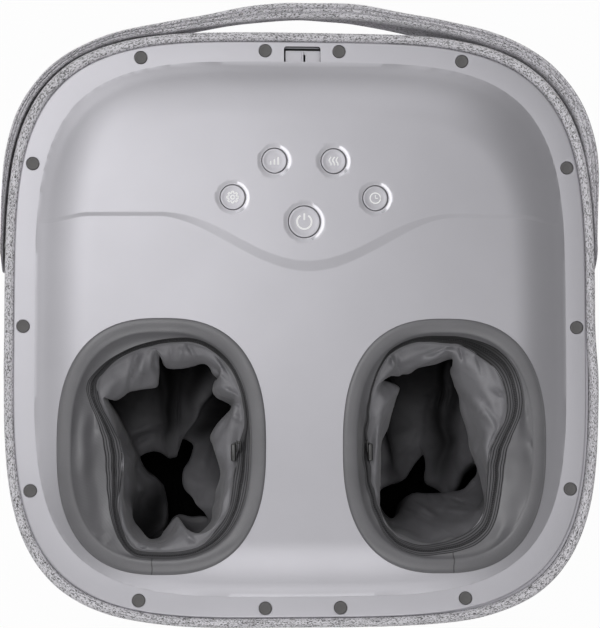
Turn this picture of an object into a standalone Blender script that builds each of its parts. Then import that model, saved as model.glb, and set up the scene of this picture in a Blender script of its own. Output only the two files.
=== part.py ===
# A foot massager: rounded-square body with two zipped foot pockets, kneading gear and a carrying strap.
# Metres, +Z up. The back, with the strap, is at +Y and the foot openings are at -Y.

import math

import bmesh
import bpy
from mathutils import Matrix, Vector

# Fit
clearance = 0.0003
overrun = 0.004

# Body outline: a superellipse seen from above
body_width = 0.415
body_depth = 0.417
rim_height = 0.212
body_exponent = 4.0
body_points = 48
corner_density = 0.6

# Standing pads
pad_height = 0.006
pad_radius = 0.014
pad_inset = 0.058
pad_points = 14

# Base shell
skirt_inset = 0.001
skirt_top = 0.046
bottom_inset = 0.008
bottom_chamfer = 0.010
wall_thickness = 0.003
floor_thickness = 0.003
shelf_width = 0.006
shelf_thickness = 0.003

# Side cover
cover_thickness = 0.0055
cover_hem = 0.001
cover_rounding = 0.0035
cover_corner_share = 0.3

# Clamping ring and its plugs
ring_inset = 0.0067
ring_width = 0.015
ring_thickness = 0.004
ring_drop = 0.0005
ring_chamfer = 0.0005
plug_radius = 0.0044
plug_thickness = 0.0020
plug_points = 10
plug_inner_x = 0.026
plug_outer_x = 0.113
plug_side_y = 0.113
notch_width = 0.0257
notch_depth = 0.0109
notch_rounding = 0.0020
notch_floor_wall = 0.0032
fin_thickness = 0.0018
fin_height = 0.0032

# Top panel
panel_thickness = 0.0025
panel_edge_drop = 0.0008
slope_width = 0.034
shoulder_rise = 0.012
crown_rise = 0.008
slope_shares = (0.0, 0.12, 0.32, 0.62, 1.0)
inner_shares = (0.72, 0.36)

# Raised control area behind the wave
step_height = 0.0014
wave_shoulder_y = 0.077
wave_dip = 0.0355
wave_half_width = 0.100
wave_points = 20
raised_edge_share = 0.965

# Foot openings and their collars
opening_side_margin = 0.0382
opening_front_margin = 0.0379
bridge_width = 0.0526
opening_length = 0.1756
opening_exponent = 2.55
opening_points = 36
collar_proud = 0.0012
collar_rounding = 0.0025
collar_band = 0.0095
collar_band_drop = 0.0020
collar_wall = 0.0025
collar_seat_depth = 0.004
collar_slope_share = 0.5
mouth_shift = 0.0097
mouth_inset_x = 0.0195
mouth_inset_y = 0.0113
mouth_drop = 0.004

# Zip tape, slider and pull tab
zip_height = 0.010
zip_thickness = 0.0016
zip_lean = 0.004
slider_length = 0.008
slider_depth = 0.005
slider_drop = 0.0012
slider_height = 0.008
ear_reach = 0.0042
ear_thickness = 0.001
ear_length = 0.0034
zip_bar_radius = 0.0006
zip_bar_stand = 0.0026
zip_bar_points = 8
pull_eye_radius = 0.0018
pull_length = 0.0105
pull_height = 0.0036
pull_thickness = 0.0010

# Liners
liner_thickness = 0.0015
liner_points = 36
liner_fold_count = 7
liner_second_count = 4
liner_second_share = 0.6
liner_swirl = 0.9
liner_fold_share = 0.11
sole_shares = (0.93, 0.96)
# Share of the height down to the sole, of the way from the mouth to the chamber, and of the folds
liner_level_shares = (
    (0.0, 0.0, 0.0),
    (0.03, 0.0, 0.0),
    (0.09, 0.08, 0.65),
    (0.20, 0.40, 1.0),
    (0.36, 0.85, 0.8),
    (0.60, 1.0, 0.5),
    (0.85, 1.0, 0.2),
    (0.97, 1.0, 0.0),
)

# Chamber that each foot rests in
chamber_exponent = 3.4
cradle_side_gap = 0.0422
cradle_middle_gap = 0.055
cradle_front_gap = 0.0362
cradle_back_gap = 0.0762
cradle_wall = 0.0025
cradle_top = 0.130
cradle_points = 32
deck_height = 0.050
deck_thickness = 0.003
leg_radius = 0.005
leg_inset_x = 0.022
leg_inset_y = 0.034
leg_points = 8
liner_sole_z = 0.0722
liner_side_gap = 0.0100

# Kneading gear
gear_module = 0.003
disc_teeth = 20
pinion_teeth = 8
gear_thickness = 0.009
addendum_share = 0.70
dedendum_share = 1.15
tooth_root_share = 0.50
tooth_tip_share = 0.20
axle_radius = 0.004
axle_head_radius = 0.0065
axle_head_thickness = 0.002
axle_points = 12
head_count = 3
head_circle = 0.019
head_radius = 0.0085
head_top_radius = 0.0065
head_height = 0.011
head_rounding = 0.0030
head_points = 8
shaft_radius = 0.0025
shaft_reach = 0.010

# Motors
motor_radius = 0.019
motor_length = 0.028
motor_collar_radius = 0.013
motor_collar_height = 0.002
motor_points = 16

# Air bags, pump and hose
bag_thickness = 0.0075
bag_length = 0.110
bag_height = 0.044
bag_rounding = 0.003
pump_width = 0.044
pump_length = 0.080
pump_height = 0.042
pump_rounding = 0.004
pump_y = 0.030
nipple_radius = 0.003
nipple_height = 0.010
hose_radius = 0.003
hose_hang_share = 0.66
hose_points = 20

# Buttons: places from the body's centre
button_radius = 0.0087
power_radius = 0.0110
button_travel = 0.001
button_sink = 0.0004
button_rounding = 0.0008
button_shoulder = 0.0013
shoulder_thickness = 0.0015
shoulder_slack = 0.0006
stem_radius = 0.003
recess_width = 0.0030
recess_depth = 0.0008
button_points = 16
side_button_x = 0.0493
side_button_y = 0.0883
top_button_x = 0.0205
top_button_y = 0.1140
power_button_y = 0.0715

# Button carrier and control board
carrier_thickness = 0.0025
carrier_gap = 0.0016
carrier_margin = 0.016
carrier_rounding = 0.006
carrier_leg_height = 0.0045
post_radius = 0.0035
post_points = 8
board_thickness = 0.0016
switch_size = 0.006

# Main board
main_board_width = 0.150
main_board_length = 0.044
main_board_margin = 0.010
main_board_stand = 0.006
# Each component's place and width as shares of the board's width, and height as a share of its length
component_shares = ((-0.30, 0.20, 0.55), (0.0, 0.14, 0.35), (0.25, 0.12, 0.45))

# Power inlet
inlet_from_board_end = 0.015
inlet_z = 0.026
inlet_width = 0.022
inlet_height = 0.014
inlet_length = 0.020
inlet_wall = 0.002
inlet_depth = 0.012
inlet_pin_radius = 0.0012
inlet_pin_spacing = 0.0086

# Carrying strap
strap_width = 0.038
strap_thickness = 0.0018
grip_thickness = 0.005
grip_half_length = 0.036
strap_below_rim = 0.022
strap_axis_y = 0.058
strap_end = 0.011
strap_side_gap = 0.0008
strap_corner_gap = 0.0066
strap_corner_run = 0.090
strap_arch = 0.0093
strap_arch_half = 0.105
strap_stations = 44
strap_even_stations = 4
strap_density = 0.3
strap_start_share = 0.985
rivet_radius = 0.003
rivet_head_radius = 0.0065
rivet_head_thickness = 0.0010
rivet_flange_radius = 0.005
rivet_points = 14

# Heights that follow from the sizes above
base_z = pad_height + clearance
floor_z = base_z + floor_thickness
ring_top = rim_height - ring_drop
ring_bottom = ring_top - ring_thickness
lip_top = ring_bottom - clearance
lip_bottom = lip_top - panel_thickness
shelf_top = lip_bottom - clearance
wall_inset = cover_thickness + clearance
wall_inner_inset = wall_inset + wall_thickness
lip_inset = wall_inner_inset + clearance
panel_inset = ring_inset + ring_width + clearance
panel_edge_z = ring_top - panel_edge_drop
panel_half_x = body_width / 2 - panel_inset
panel_half_y = body_depth / 2 - panel_inset
opening_half_x = (body_width / 2 - opening_side_margin - bridge_width / 2) / 2
opening_half_y = opening_length / 2
opening_x = bridge_width / 2 + opening_half_x
opening_y = opening_front_margin + opening_half_y - body_depth / 2
mouth_half_x = opening_half_x - mouth_inset_x
mouth_half_y = opening_half_y - mouth_inset_y
mouth_z = rim_height - mouth_drop
inner_half_x = body_width / 2 - wall_inner_inset
inner_half_y = body_depth / 2 - wall_inner_inset
cradle_half_x = (inner_half_x - cradle_side_gap - cradle_middle_gap / 2) / 2
cradle_half_y = inner_half_y - (cradle_front_gap + cradle_back_gap) / 2
chamber_x = cradle_middle_gap / 2 + cradle_half_x
chamber_y = (cradle_front_gap - cradle_back_gap) / 2
inlet_x = main_board_width / 2 - inlet_from_board_end
gear_z = deck_height + clearance
disc_pitch_radius = gear_module * disc_teeth / 2
pinion_pitch_radius = gear_module * pinion_teeth / 2
axle_spacing = disc_pitch_radius + pinion_pitch_radius
bore_radius = axle_radius + clearance
strap_z = rim_height - strap_below_rim
strap_reach = strap_side_gap + strap_corner_gap + strap_arch + grip_thickness
body_centre_y = -strap_reach / 2
buttons = {
    "button_power": (0.0, power_button_y, power_radius),
    "button_mode": (-side_button_x, side_button_y, button_radius),
    "button_intensity": (-top_button_x, top_button_y, button_radius),
    "button_heat": (top_button_x, top_button_y, button_radius),
    "button_timer": (side_button_x, side_button_y, button_radius),
}
sides = {"left": -1, "right": 1}


# Scene

def clear_scene():
    for old in list(bpy.data.objects):
        bpy.data.objects.remove(old)


def new_collection(name):
    collection = bpy.data.collections.new(name)
    bpy.context.scene.collection.children.link(collection)
    return collection


clear_scene()
parts = new_collection("foot_massager")
helpers = new_collection("cutters")
body = bpy.data.objects.new("body_centre", None)
body.location = (0, body_centre_y, 0)
parts.objects.link(body)


def material(name, colour, roughness, metallic=0.0):
    found = bpy.data.materials.get(name)
    if found:
        return found
    made = bpy.data.materials.new(name)
    made.use_nodes = True
    shader = made.node_tree.nodes["Principled BSDF"]
    shader.inputs["Base Color"].default_value = (*colour, 1)
    shader.inputs["Roughness"].default_value = roughness
    shader.inputs["Metallic"].default_value = metallic
    return made


silver = material("silver plastic", (0.55, 0.54, 0.57), 0.35)
heather = material("heather cloth", (0.38, 0.37, 0.40), 0.95)
plug_grey = material("plug grey", (0.14, 0.13, 0.13), 0.6)
collar_grey = material("collar cloth", (0.13, 0.13, 0.14), 0.7)
liner_grey = material("liner cloth", (0.10, 0.10, 0.11), 0.85)
zip_grey = material("zip grey", (0.07, 0.07, 0.08), 0.6)
dark_plastic = material("dark plastic", (0.05, 0.05, 0.055), 0.5)
white_plastic = material("natural plastic", (0.75, 0.75, 0.72), 0.45)
board_green = material("board green", (0.02, 0.18, 0.07), 0.5)
steel = material("steel", (0.55, 0.55, 0.57), 0.3, 1.0)
rubber = material("rubber", (0.03, 0.03, 0.03), 0.9)
bag_blue = material("air bag", (0.25, 0.30, 0.38), 0.6)


def put(mesh, name, finish, place=(0, 0, 0), smooth_angle=30):
    obj = bpy.data.objects.new(name, mesh)
    obj.location = place
    obj.parent = body
    if finish is None:
        helpers.objects.link(obj)
        obj.hide_render = True
        obj.display_type = "WIRE"
    else:
        parts.objects.link(obj)
        mesh.materials.append(finish)
        mesh.shade_smooth()
        mesh.set_sharp_from_angle(angle=math.radians(smooth_angle))
    return obj


def boolean(target, other, operation="DIFFERENCE"):
    modifier = target.modifiers.new(other.name, "BOOLEAN")
    modifier.operation = operation
    modifier.object = other


# Shapes

def superellipse(half_x, half_y, exponent, count, centre=(0.0, 0.0), dense=0.0):
    points = []
    for i in range(count):
        turn = 2 * math.pi * i / count
        turn += dense * math.sin(4 * turn) / 4
        reach = (abs(math.cos(turn)) / half_x) ** exponent + (abs(math.sin(turn)) / half_y) ** exponent
        reach **= -1 / exponent
        points.append((centre[0] + reach * math.cos(turn), centre[1] + reach * math.sin(turn)))
    return points


def body_outline(inset):
    return superellipse(
        body_width / 2 - inset, body_depth / 2 - inset, body_exponent, body_points, dense=corner_density
    )


def side_x(inset, y):
    """X of the body's side at this y."""
    half_y = body_depth / 2 - inset
    return (body_width / 2 - inset) * (1 - (abs(y) / half_y) ** body_exponent) ** (1 / body_exponent)


def at_height(points, z):
    return [(x, y, z) for x, y in points]


def skin(mesh_name, rings, closed_round=False, first_pole=None, last_pole=None, capped=True):
    """A surface through rings of equally many points, with caps, poles or a closed tube."""
    mesh = bpy.data.meshes.new(mesh_name)
    bm = bmesh.new()
    loops = [[bm.verts.new(point) for point in ring] for ring in rings]
    pairs = list(zip(loops, loops[1:]))
    if closed_round:
        pairs.append((loops[-1], loops[0]))
    for low, high in pairs:
        for i in range(len(low)):
            j = (i + 1) % len(low)
            bm.faces.new((low[i], low[j], high[j], high[i]))
    for loop, pole in ((loops[0], first_pole), (loops[-1], last_pole)):
        if pole:
            tip = bm.verts.new(pole)
            for i in range(len(loop)):
                bm.faces.new((loop[i], loop[(i + 1) % len(loop)], tip))
        elif capped and not closed_round:
            bm.faces.new(loop)
    bmesh.ops.recalc_face_normals(bm, faces=bm.faces)
    bm.to_mesh(mesh)
    bm.free()
    return mesh


def prism(mesh_name, outline, low, high):
    return skin(mesh_name, [at_height(outline, low), at_height(outline, high)])


def rounded_rectangle(width, depth, rounding, centre=(0.0, 0.0), per_corner=3):
    points = []
    for corner, (sx, sy) in enumerate(((1, 1), (-1, 1), (-1, -1), (1, -1))):
        for i in range(per_corner):
            turn = math.pi / 2 * (corner + i / (per_corner - 1))
            points.append(
                (
                    centre[0] + sx * (width / 2 - rounding) + rounding * math.cos(turn),
                    centre[1] + sy * (depth / 2 - rounding) + rounding * math.sin(turn),
                )
            )
    return points


def box_mesh(mesh_name, boxes):
    """Boxes as (low corner, high corner), all in one mesh."""
    mesh = bpy.data.meshes.new(mesh_name)
    bm = bmesh.new()
    for low, high in boxes:
        size = Vector(high) - Vector(low)
        middle = (Vector(high) + Vector(low)) / 2
        place = Matrix.Translation(middle) @ Matrix.Diagonal((*size, 1))
        bmesh.ops.create_cube(bm, size=1, matrix=place)
    bm.to_mesh(mesh)
    bm.free()
    return mesh


def rounded_box(mesh_name, size, rounding, middle=(0.0, 0.0, 0.0), segments=1):
    mesh = bpy.data.meshes.new(mesh_name)
    bm = bmesh.new()
    place = Matrix.Translation(middle) @ Matrix.Diagonal((*size, 1))
    bmesh.ops.create_cube(bm, size=1, matrix=place)
    bmesh.ops.bevel(
        bm, geom=bm.edges[:], offset=rounding, segments=segments, affect="EDGES", profile=0.5
    )
    bm.to_mesh(mesh)
    bm.free()
    return mesh


def posts_mesh(mesh_name, places, radius, low, high, points, top_radius=None, rounding=0.0):
    """Upright posts or pegs at the places, all in one mesh."""
    mesh = bpy.data.meshes.new(mesh_name)
    bm = bmesh.new()
    for x, y in places:
        made = bmesh.ops.create_cone(
            bm,
            cap_ends=True,
            segments=points,
            radius1=radius,
            radius2=top_radius or radius,
            depth=high - low,
            matrix=Matrix.Translation((x, y, (low + high) / 2)),
        )
        if rounding:
            top = {v for v in made["verts"] if v.co.z > (low + high) / 2}
            rim = [e for e in bm.edges if e.verts[0] in top and e.verts[1] in top]
            bmesh.ops.bevel(
                bm, geom=rim, offset=rounding, segments=1, affect="EDGES", profile=0.5
            )
    bm.to_mesh(mesh)
    bm.free()
    return mesh


def turned(name, profile, finish, place=(0, 0, 0), steps=16, axis="Z", closed=False):
    """A profile of (radius, height) turned round an axis; it runs down the outer side."""
    mesh = bpy.data.meshes.new(name)
    along = {"Z": (0, 2), "X": (1, 0)}[axis]
    verts = []
    for radius, height in profile:
        point = [0.0, 0.0, 0.0]
        point[along[0]] = radius
        point[along[1]] = height
        verts.append(point)
    edges = [(i, i + 1) for i in range(len(verts) - 1)]
    if closed:
        edges.append((len(verts) - 1, 0))
    mesh.from_pydata(verts, edges, [])
    obj = put(mesh, name, finish, place)
    screw = obj.modifiers.new("turn", "SCREW")
    screw.axis = axis
    screw.steps = steps
    screw.render_steps = steps
    screw.use_merge_vertices = True
    screw.merge_threshold = clearance / 30
    return obj


def smooth(share):
    share = min(max(share, 0.0), 1.0)
    return share * share * (3 - 2 * share)


def panel_share(x, y):
    return ((abs(x) / panel_half_x) ** body_exponent + (abs(y) / panel_half_y) ** body_exponent) ** (
        1 / body_exponent
    )


def raised(x, y):
    """How far the control area stands above the rest of the panel."""
    return step_height * max(0.0, 1 - panel_share(x, y) ** 4)


def panel_z(x, y):
    """Height of the panel's top face, without the raised area."""
    share = panel_share(x, y)
    inwards = min(max((1 - share) * panel_half_x / slope_width, 0.0), 1.0)
    shoulder = shoulder_rise * math.sin(math.pi / 2 * inwards)
    return panel_edge_z + shoulder + crown_rise * (1 - share * share)


def wave_y(x):
    """The line across the panel where the control area ends."""
    if abs(x) > wave_half_width:
        return wave_shoulder_y
    return wave_shoulder_y - wave_dip * (1 + math.cos(math.pi * x / wave_half_width)) / 2


# Body shells

def make_base_shell():
    shelf_inset = lip_inset + shelf_width
    steps = (
        (bottom_inset, base_z),
        (skirt_inset, base_z + bottom_chamfer),
        (skirt_inset, skirt_top),
        (wall_inset, skirt_top),
        (wall_inset, lip_top),
        (wall_inner_inset, lip_top),
        (wall_inner_inset, shelf_top),
        (shelf_inset, shelf_top),
        (shelf_inset, shelf_top - shelf_thickness),
        (wall_inner_inset, shelf_top - shelf_thickness - shelf_width),
        (wall_inner_inset, floor_z),
    )
    rings = [at_height(body_outline(inset), z) for inset, z in steps]
    base = put(skin("base_shell", rings), "base_shell", silver)
    board_posts = posts_mesh(
        "board posts",
        main_board_posts(),
        post_radius,
        floor_z - clearance,
        floor_z + main_board_stand,
        post_points,
    )
    boolean(base, put(board_posts, "board posts", None), "UNION")
    back = body_depth / 2
    opening = box_mesh(
        "inlet opening",
        [
            (
                (inlet_x - inlet_width / 2 - clearance, back - inlet_length - overrun, inlet_z - inlet_height / 2 - clearance),
                (inlet_x + inlet_width / 2 + clearance, back + overrun, inlet_z + inlet_height / 2 + clearance),
            )
        ],
    )
    boolean(base, put(opening, "inlet opening", None))
    for side, sign in sides.items():
        boolean(base, rivet_hole(side, sign))


def rivet_hole(side, sign):
    name = f"rivet hole {side}"
    found = bpy.data.objects.get(name)
    if found:
        return found
    hole_radius = rivet_radius + clearance
    near = body_width / 2 - wall_inner_inset - overrun
    far = body_width / 2 + strap_side_gap + strap_thickness + overrun
    profile = ((0, far), (hole_radius, far), (hole_radius, near), (0, near))
    hole = turned(name, profile, None, (0, strap_axis_y, strap_z), rivet_points, "X")
    hole.rotation_euler = (0, 0, 0 if sign > 0 else math.pi)
    return hole


def make_side_cover():
    low = skirt_top + clearance
    middle = cover_thickness / 2
    soft_corner = cover_rounding * cover_corner_share
    steps = (
        (cover_thickness, low),
        (cover_hem, low),
        (0.0, low + cover_rounding),
        (0.0, rim_height - cover_rounding),
        (soft_corner, rim_height - soft_corner),
        (middle, rim_height),
        (cover_thickness - soft_corner, rim_height - soft_corner),
        (cover_thickness, rim_height - cover_rounding),
    )
    rings = [at_height(body_outline(inset), z) for inset, z in steps]
    cover = put(skin("fabric_side_cover", rings, closed_round=True), "fabric_side_cover", heather)
    for side, sign in sides.items():
        boolean(cover, rivet_hole(side, sign))


def plug_places():
    """Plug centres on the ring's middle line: four at the back and front, three at each side."""
    half_x = body_width / 2 - ring_inset - ring_width / 2
    half_y = body_depth / 2 - ring_inset - ring_width / 2
    places = []
    for x in (-plug_outer_x, -plug_inner_x, plug_inner_x, plug_outer_x):
        y = half_y * (1 - (abs(x) / half_x) ** body_exponent) ** (1 / body_exponent)
        places += [(x, y), (x, -y)]
    for y in (-plug_side_y, 0.0, plug_side_y):
        x = half_x * (1 - (abs(y) / half_y) ** body_exponent) ** (1 / body_exponent)
        places += [(x, y), (-x, y)]
    return places


def make_clamp_ring():
    inner = ring_inset + ring_width
    steps = (
        (ring_inset, ring_bottom),
        (ring_inset, ring_top - ring_chamfer),
        (ring_inset + ring_chamfer, ring_top),
        (inner, ring_top),
        (inner, ring_bottom),
    )
    rings = [at_height(body_outline(inset), z) for inset, z in steps]
    ring = put(skin("clamp_ring", rings, closed_round=True), "clamp_ring", silver)
    seats = posts_mesh(
        "plug seats",
        plug_places(),
        plug_radius + clearance,
        ring_top - plug_thickness - clearance,
        ring_top + overrun,
        plug_points,
    )
    boolean(ring, put(seats, "plug seats", None))
    inner_y = body_depth / 2 - inner
    outline = rounded_rectangle(
        notch_width,
        notch_depth + overrun,
        notch_rounding,
        (0, inner_y + (notch_depth - overrun) / 2),
    )
    notch = prism("notch", outline, ring_bottom - overrun, ring_top + overrun)
    boolean(ring, put(notch, "notch", None))


def make_plugs():
    top = ring_top - clearance / 3
    for number, (x, y) in enumerate(plug_places(), start=1):
        plug = posts_mesh(
            "screw_plug", [(0, 0)], plug_radius, -plug_thickness, 0.0, plug_points
        )
        put(plug, f"screw_plug_{number:02d}", plug_grey, (x, y, top))


def panel_rings(share_list, lift):
    rings = []
    for share in share_list:
        points = superellipse(
            panel_half_x * share, panel_half_y * share, body_exponent, body_points, dense=corner_density
        )
        rings.append([(x, y, panel_z(x, y) + lift(x, y)) for x, y in points])
    return rings


def panel_ring_shares():
    """Rings of the panel, as shares of its half width, from its edge inwards."""
    flat_share = 1 - slope_width / panel_half_x
    sloped = [1 - share * slope_width / panel_half_x for share in slope_shares]
    return sloped + [flat_share * share for share in inner_shares]


def make_top_panel():
    shares = panel_ring_shares()
    top = panel_rings(shares, lambda x, y: 0.0)
    under = panel_rings(shares[1:], lambda x, y: -panel_thickness)
    inner_wall = panel_inset + panel_thickness
    rings = (
        list(reversed(under))
        + [at_height(body_outline(inner_wall), lip_bottom), at_height(body_outline(lip_inset), lip_bottom)]
        + [at_height(body_outline(lip_inset), lip_top), at_height(body_outline(panel_inset), lip_top)]
        + top
    )
    peak = panel_z(0, 0)
    mesh = skin("top_panel", rings, first_pole=(0, 0, peak - panel_thickness), last_pole=(0, 0, peak))
    panel = put(mesh, "top_panel", silver)
    boolean(panel, make_raised_area(), "UNION")
    fin_low = body_depth / 2 - panel_inset - panel_thickness
    fin_high = body_depth / 2 - ring_inset - ring_width + notch_depth - notch_floor_wall
    fin = box_mesh(
        "fin",
        [
            (
                (-fin_thickness / 2, fin_low, lip_top - panel_thickness / 2),
                (fin_thickness / 2, fin_high, lip_top + fin_height),
            )
        ],
    )
    boolean(panel, put(fin, "fin", None), "UNION")
    for number, (x, y) in enumerate(carrier_posts()):
        high = panel_z(x, y) - panel_thickness / 2
        post = posts_mesh("panel post", [(x, y)], post_radius, carrier_top() + clearance, high, post_points)
        boolean(panel, put(post, f"panel post {number}", None), "UNION")
    for side, sign in sides.items():
        hole = superellipse(
            opening_half_x + clearance,
            opening_half_y + clearance,
            opening_exponent,
            opening_points,
            (sign * opening_x, opening_y),
        )
        cutter = prism(f"opening {side}", hole, lip_bottom - overrun, panel_z(0, 0) + overrun)
        boolean(panel, put(cutter, f"opening {side}", None))
    for name, (x, y, radius) in buttons.items():
        surface = button_surface(x, y)
        rim = radius + clearance
        wide = rim + recess_width
        rise = overrun * recess_depth / recess_width
        profile = (
            (0, surface + rise),
            (wide + overrun, surface + rise),
            (rim, surface - recess_depth),
            (rim, surface - panel_thickness - step_height - overrun),
            (0, surface - panel_thickness - step_height - overrun),
        )
        hole = turned(f"hole of {name}", profile, None, (x, y, 0), button_points)
        boolean(panel, hole)


def make_raised_area():
    shares = [share for share in panel_ring_shares() if share < raised_edge_share]
    shares.insert(0, raised_edge_share)
    top = panel_rings(shares, raised)
    under = panel_rings(shares, lambda x, y: -panel_thickness / 2)
    peak = panel_z(0, 0)
    mesh = skin(
        "raised area",
        list(reversed(under)) + top,
        first_pole=(0, 0, peak - panel_thickness / 2),
        last_pole=(0, 0, peak + step_height),
    )
    area = put(mesh, "raised area", None)
    half = body_width / 2
    line = []
    for i in range(wave_points + 1):
        x = wave_half_width * (2 * i / wave_points - 1)
        line.append((x, wave_y(x)))
    line = [(-half, wave_shoulder_y), *line, (half, wave_shoulder_y)]
    outline = [*line, (half, body_depth / 2), (-half, body_depth / 2)]
    wave = prism("wave", outline, ring_bottom, panel_z(0, 0) + overrun)
    boolean(area, put(wave, "wave", None), "INTERSECT")
    return area


def make_collar(side, sign):
    centre = (sign * opening_x, opening_y)
    mouth = (sign * (opening_x - mouth_shift), opening_y)

    def rim(inset, lift):
        points = superellipse(
            opening_half_x - inset, opening_half_y - inset, opening_exponent, opening_points, centre
        )
        return [(x, y, panel_z(x, y) + lift) for x, y in points]

    def low(outset, z):
        points = superellipse(
            mouth_half_x + outset, mouth_half_y + outset, opening_exponent, opening_points, mouth
        )
        return at_height(points, z)

    def between(first, second, share):
        return [tuple(Vector(a).lerp(Vector(b), share)) for a, b in zip(first, second)]

    band = rim(collar_band, -collar_band_drop)
    band_under = rim(collar_band - collar_wall, -collar_band_drop - collar_wall)
    half_way = between(band, low(0.0, mouth_z), collar_slope_share)
    half_under = between(band_under, low(collar_wall, mouth_z), collar_slope_share)
    rings = [
        rim(0.0, -collar_seat_depth),
        rim(0.0, 0.0),
        rim(collar_rounding, collar_proud),
        band,
        half_way,
        low(0.0, mouth_z),
        low(collar_wall, mouth_z),
        half_under,
        band_under,
        rim(collar_rounding, -collar_seat_depth),
    ]
    put(skin(f"foot_collar_{side}", rings, closed_round=True), f"foot_collar_{side}", collar_grey)


def zip_ring(inset, z, sign):
    points = superellipse(
        mouth_half_x - inset,
        mouth_half_y - inset,
        opening_exponent,
        opening_points,
        (sign * (opening_x - mouth_shift), opening_y),
    )
    return at_height(points, z)


def zip_edge_x(sign):
    """X of the mouth's edge on the side nearer the body's middle."""
    return sign * (opening_x - mouth_shift - mouth_half_x)


def make_zip(side, sign):
    top = mouth_z - clearance
    low = top - zip_height
    rings = [
        zip_ring(0.0, top, sign),
        zip_ring(zip_thickness, top, sign),
        zip_ring(zip_lean + zip_thickness, low, sign),
        zip_ring(zip_lean, low, sign),
    ]
    tape = put(skin(f"zip_{side}", rings, closed_round=True), f"zip_{side}", zip_grey)
    edge = zip_edge_x(sign)
    slider_top = top - slider_drop
    slider_low = slider_top - slider_height
    front = edge + sign * (zip_lean + slider_depth)
    tip = front + sign * ear_reach
    bar = front + sign * zip_bar_stand
    half = slider_length / 2
    ear = ear_length / 2

    def span(x1, x2, y, z1, z2):
        return ((min(x1, x2), opening_y - y, z1), (max(x1, x2), opening_y + y, z2))

    block = span(edge + sign * zip_lean, front, half, slider_low, slider_top)
    ears = [
        span(front - sign * ear_thickness, tip, ear, slider_low, slider_low + ear_thickness),
        span(front - sign * ear_thickness, tip, ear, slider_top - ear_thickness, slider_top),
    ]
    for number, box in enumerate([block, *ears]):
        piece = box_mesh(f"slider {side} {number}", [box])
        boolean(tape, put(piece, f"slider {side} {number}", None), "UNION")
    inside = ear_thickness / 2
    pin = posts_mesh(
        f"slider bar {side}",
        [(bar, opening_y)],
        zip_bar_radius,
        slider_low + inside,
        slider_top - inside,
        zip_bar_points,
    )
    boolean(tape, put(pin, f"slider bar {side}", None), "UNION")
    make_pull(side, (bar, opening_y, (slider_low + slider_top) / 2))


def make_pull(side, place):
    eye_half = slider_height / 2 - ear_thickness - clearance
    eye = posts_mesh(
        f"zip_pull_{side}", [(0, 0)], pull_eye_radius, -eye_half, eye_half, zip_bar_points
    )
    pull = put(eye, f"zip_pull_{side}", steel, place)
    tab = box_mesh(
        f"tab {side}",
        [
            (
                (-pull_thickness / 2, -pull_length, -pull_height / 2),
                (pull_thickness / 2, -pull_thickness, pull_height / 2),
            )
        ],
    )
    boolean(pull, put(tab, f"tab {side}", None, place), "UNION")
    hole = posts_mesh(
        f"eye {side}",
        [(0, 0)],
        zip_bar_radius + clearance,
        -eye_half - overrun,
        eye_half + overrun,
        zip_bar_points,
    )
    boolean(pull, put(hole, f"eye {side}", None, place))


def liner_levels():
    """Heights of the liner's rings with their centre, half sizes and depth of folds."""
    top = mouth_z - zip_height - 2 * clearance
    wide = cradle_half_x - cradle_wall - liner_side_gap
    long = cradle_half_y - cradle_wall - liner_thickness - clearance * 4
    mouth_x = opening_x - mouth_shift
    start = (mouth_x, opening_y, mouth_half_x - zip_lean, mouth_half_y - zip_lean)
    end = (chamber_x, chamber_y, wide, long)
    levels = []
    for depth_share, way_share, fold_share in liner_level_shares:
        z = top + (liner_sole_z - top) * depth_share
        middle = [a + (b - a) * way_share for a, b in zip(start, end)]
        exponent = opening_exponent + (chamber_exponent - opening_exponent) * way_share
        levels.append((z, *middle, exponent, fold_share))
    return levels


def liner_ring(level, sign, number):
    z, cx, cy, half_x, half_y, exponent, fold_share = level
    points = []
    for i in range(liner_points):
        turn = 2 * math.pi * i / liner_points
        reach = (abs(math.cos(turn)) / half_x) ** exponent + (abs(math.sin(turn)) / half_y) ** exponent
        reach **= -1 / exponent
        wave = math.sin(liner_fold_count * turn + liner_swirl * number)
        wave += liner_second_share * math.sin(liner_second_count * turn - liner_swirl * number)
        fold = liner_fold_share * fold_share * (1 + wave / (1 + liner_second_share)) / 2
        reach *= 1 - fold
        points.append((sign * (cx + reach * math.cos(turn)), cy + reach * math.sin(turn), z))
    return points


def make_liner(side, sign):
    levels = liner_levels()
    rings = [liner_ring(level, sign, number) for number, level in enumerate(levels)]
    z, cx, cy, *_ = levels[-1]
    sole = []
    x_share, y_share = sole_shares
    for x, y, _ in rings[-1]:
        sole.append((sign * cx + (x - sign * cx) * x_share, cy + (y - cy) * y_share, liner_sole_z))
    mesh = skin(f"liner_{side}", [*rings, sole], last_pole=(sign * cx, cy, liner_sole_z), capped=False)
    liner = put(mesh, f"liner_{side}", liner_grey, smooth_angle=80)
    shell = liner.modifiers.new("cloth thickness", "SOLIDIFY")
    shell.thickness = liner_thickness
    shell.offset = -1


# Foot cradles and kneading gear

def cradle_outline(inset, sign):
    return superellipse(
        cradle_half_x - inset,
        cradle_half_y - inset,
        chamber_exponent,
        cradle_points,
        (sign * chamber_x, chamber_y),
    )


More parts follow.
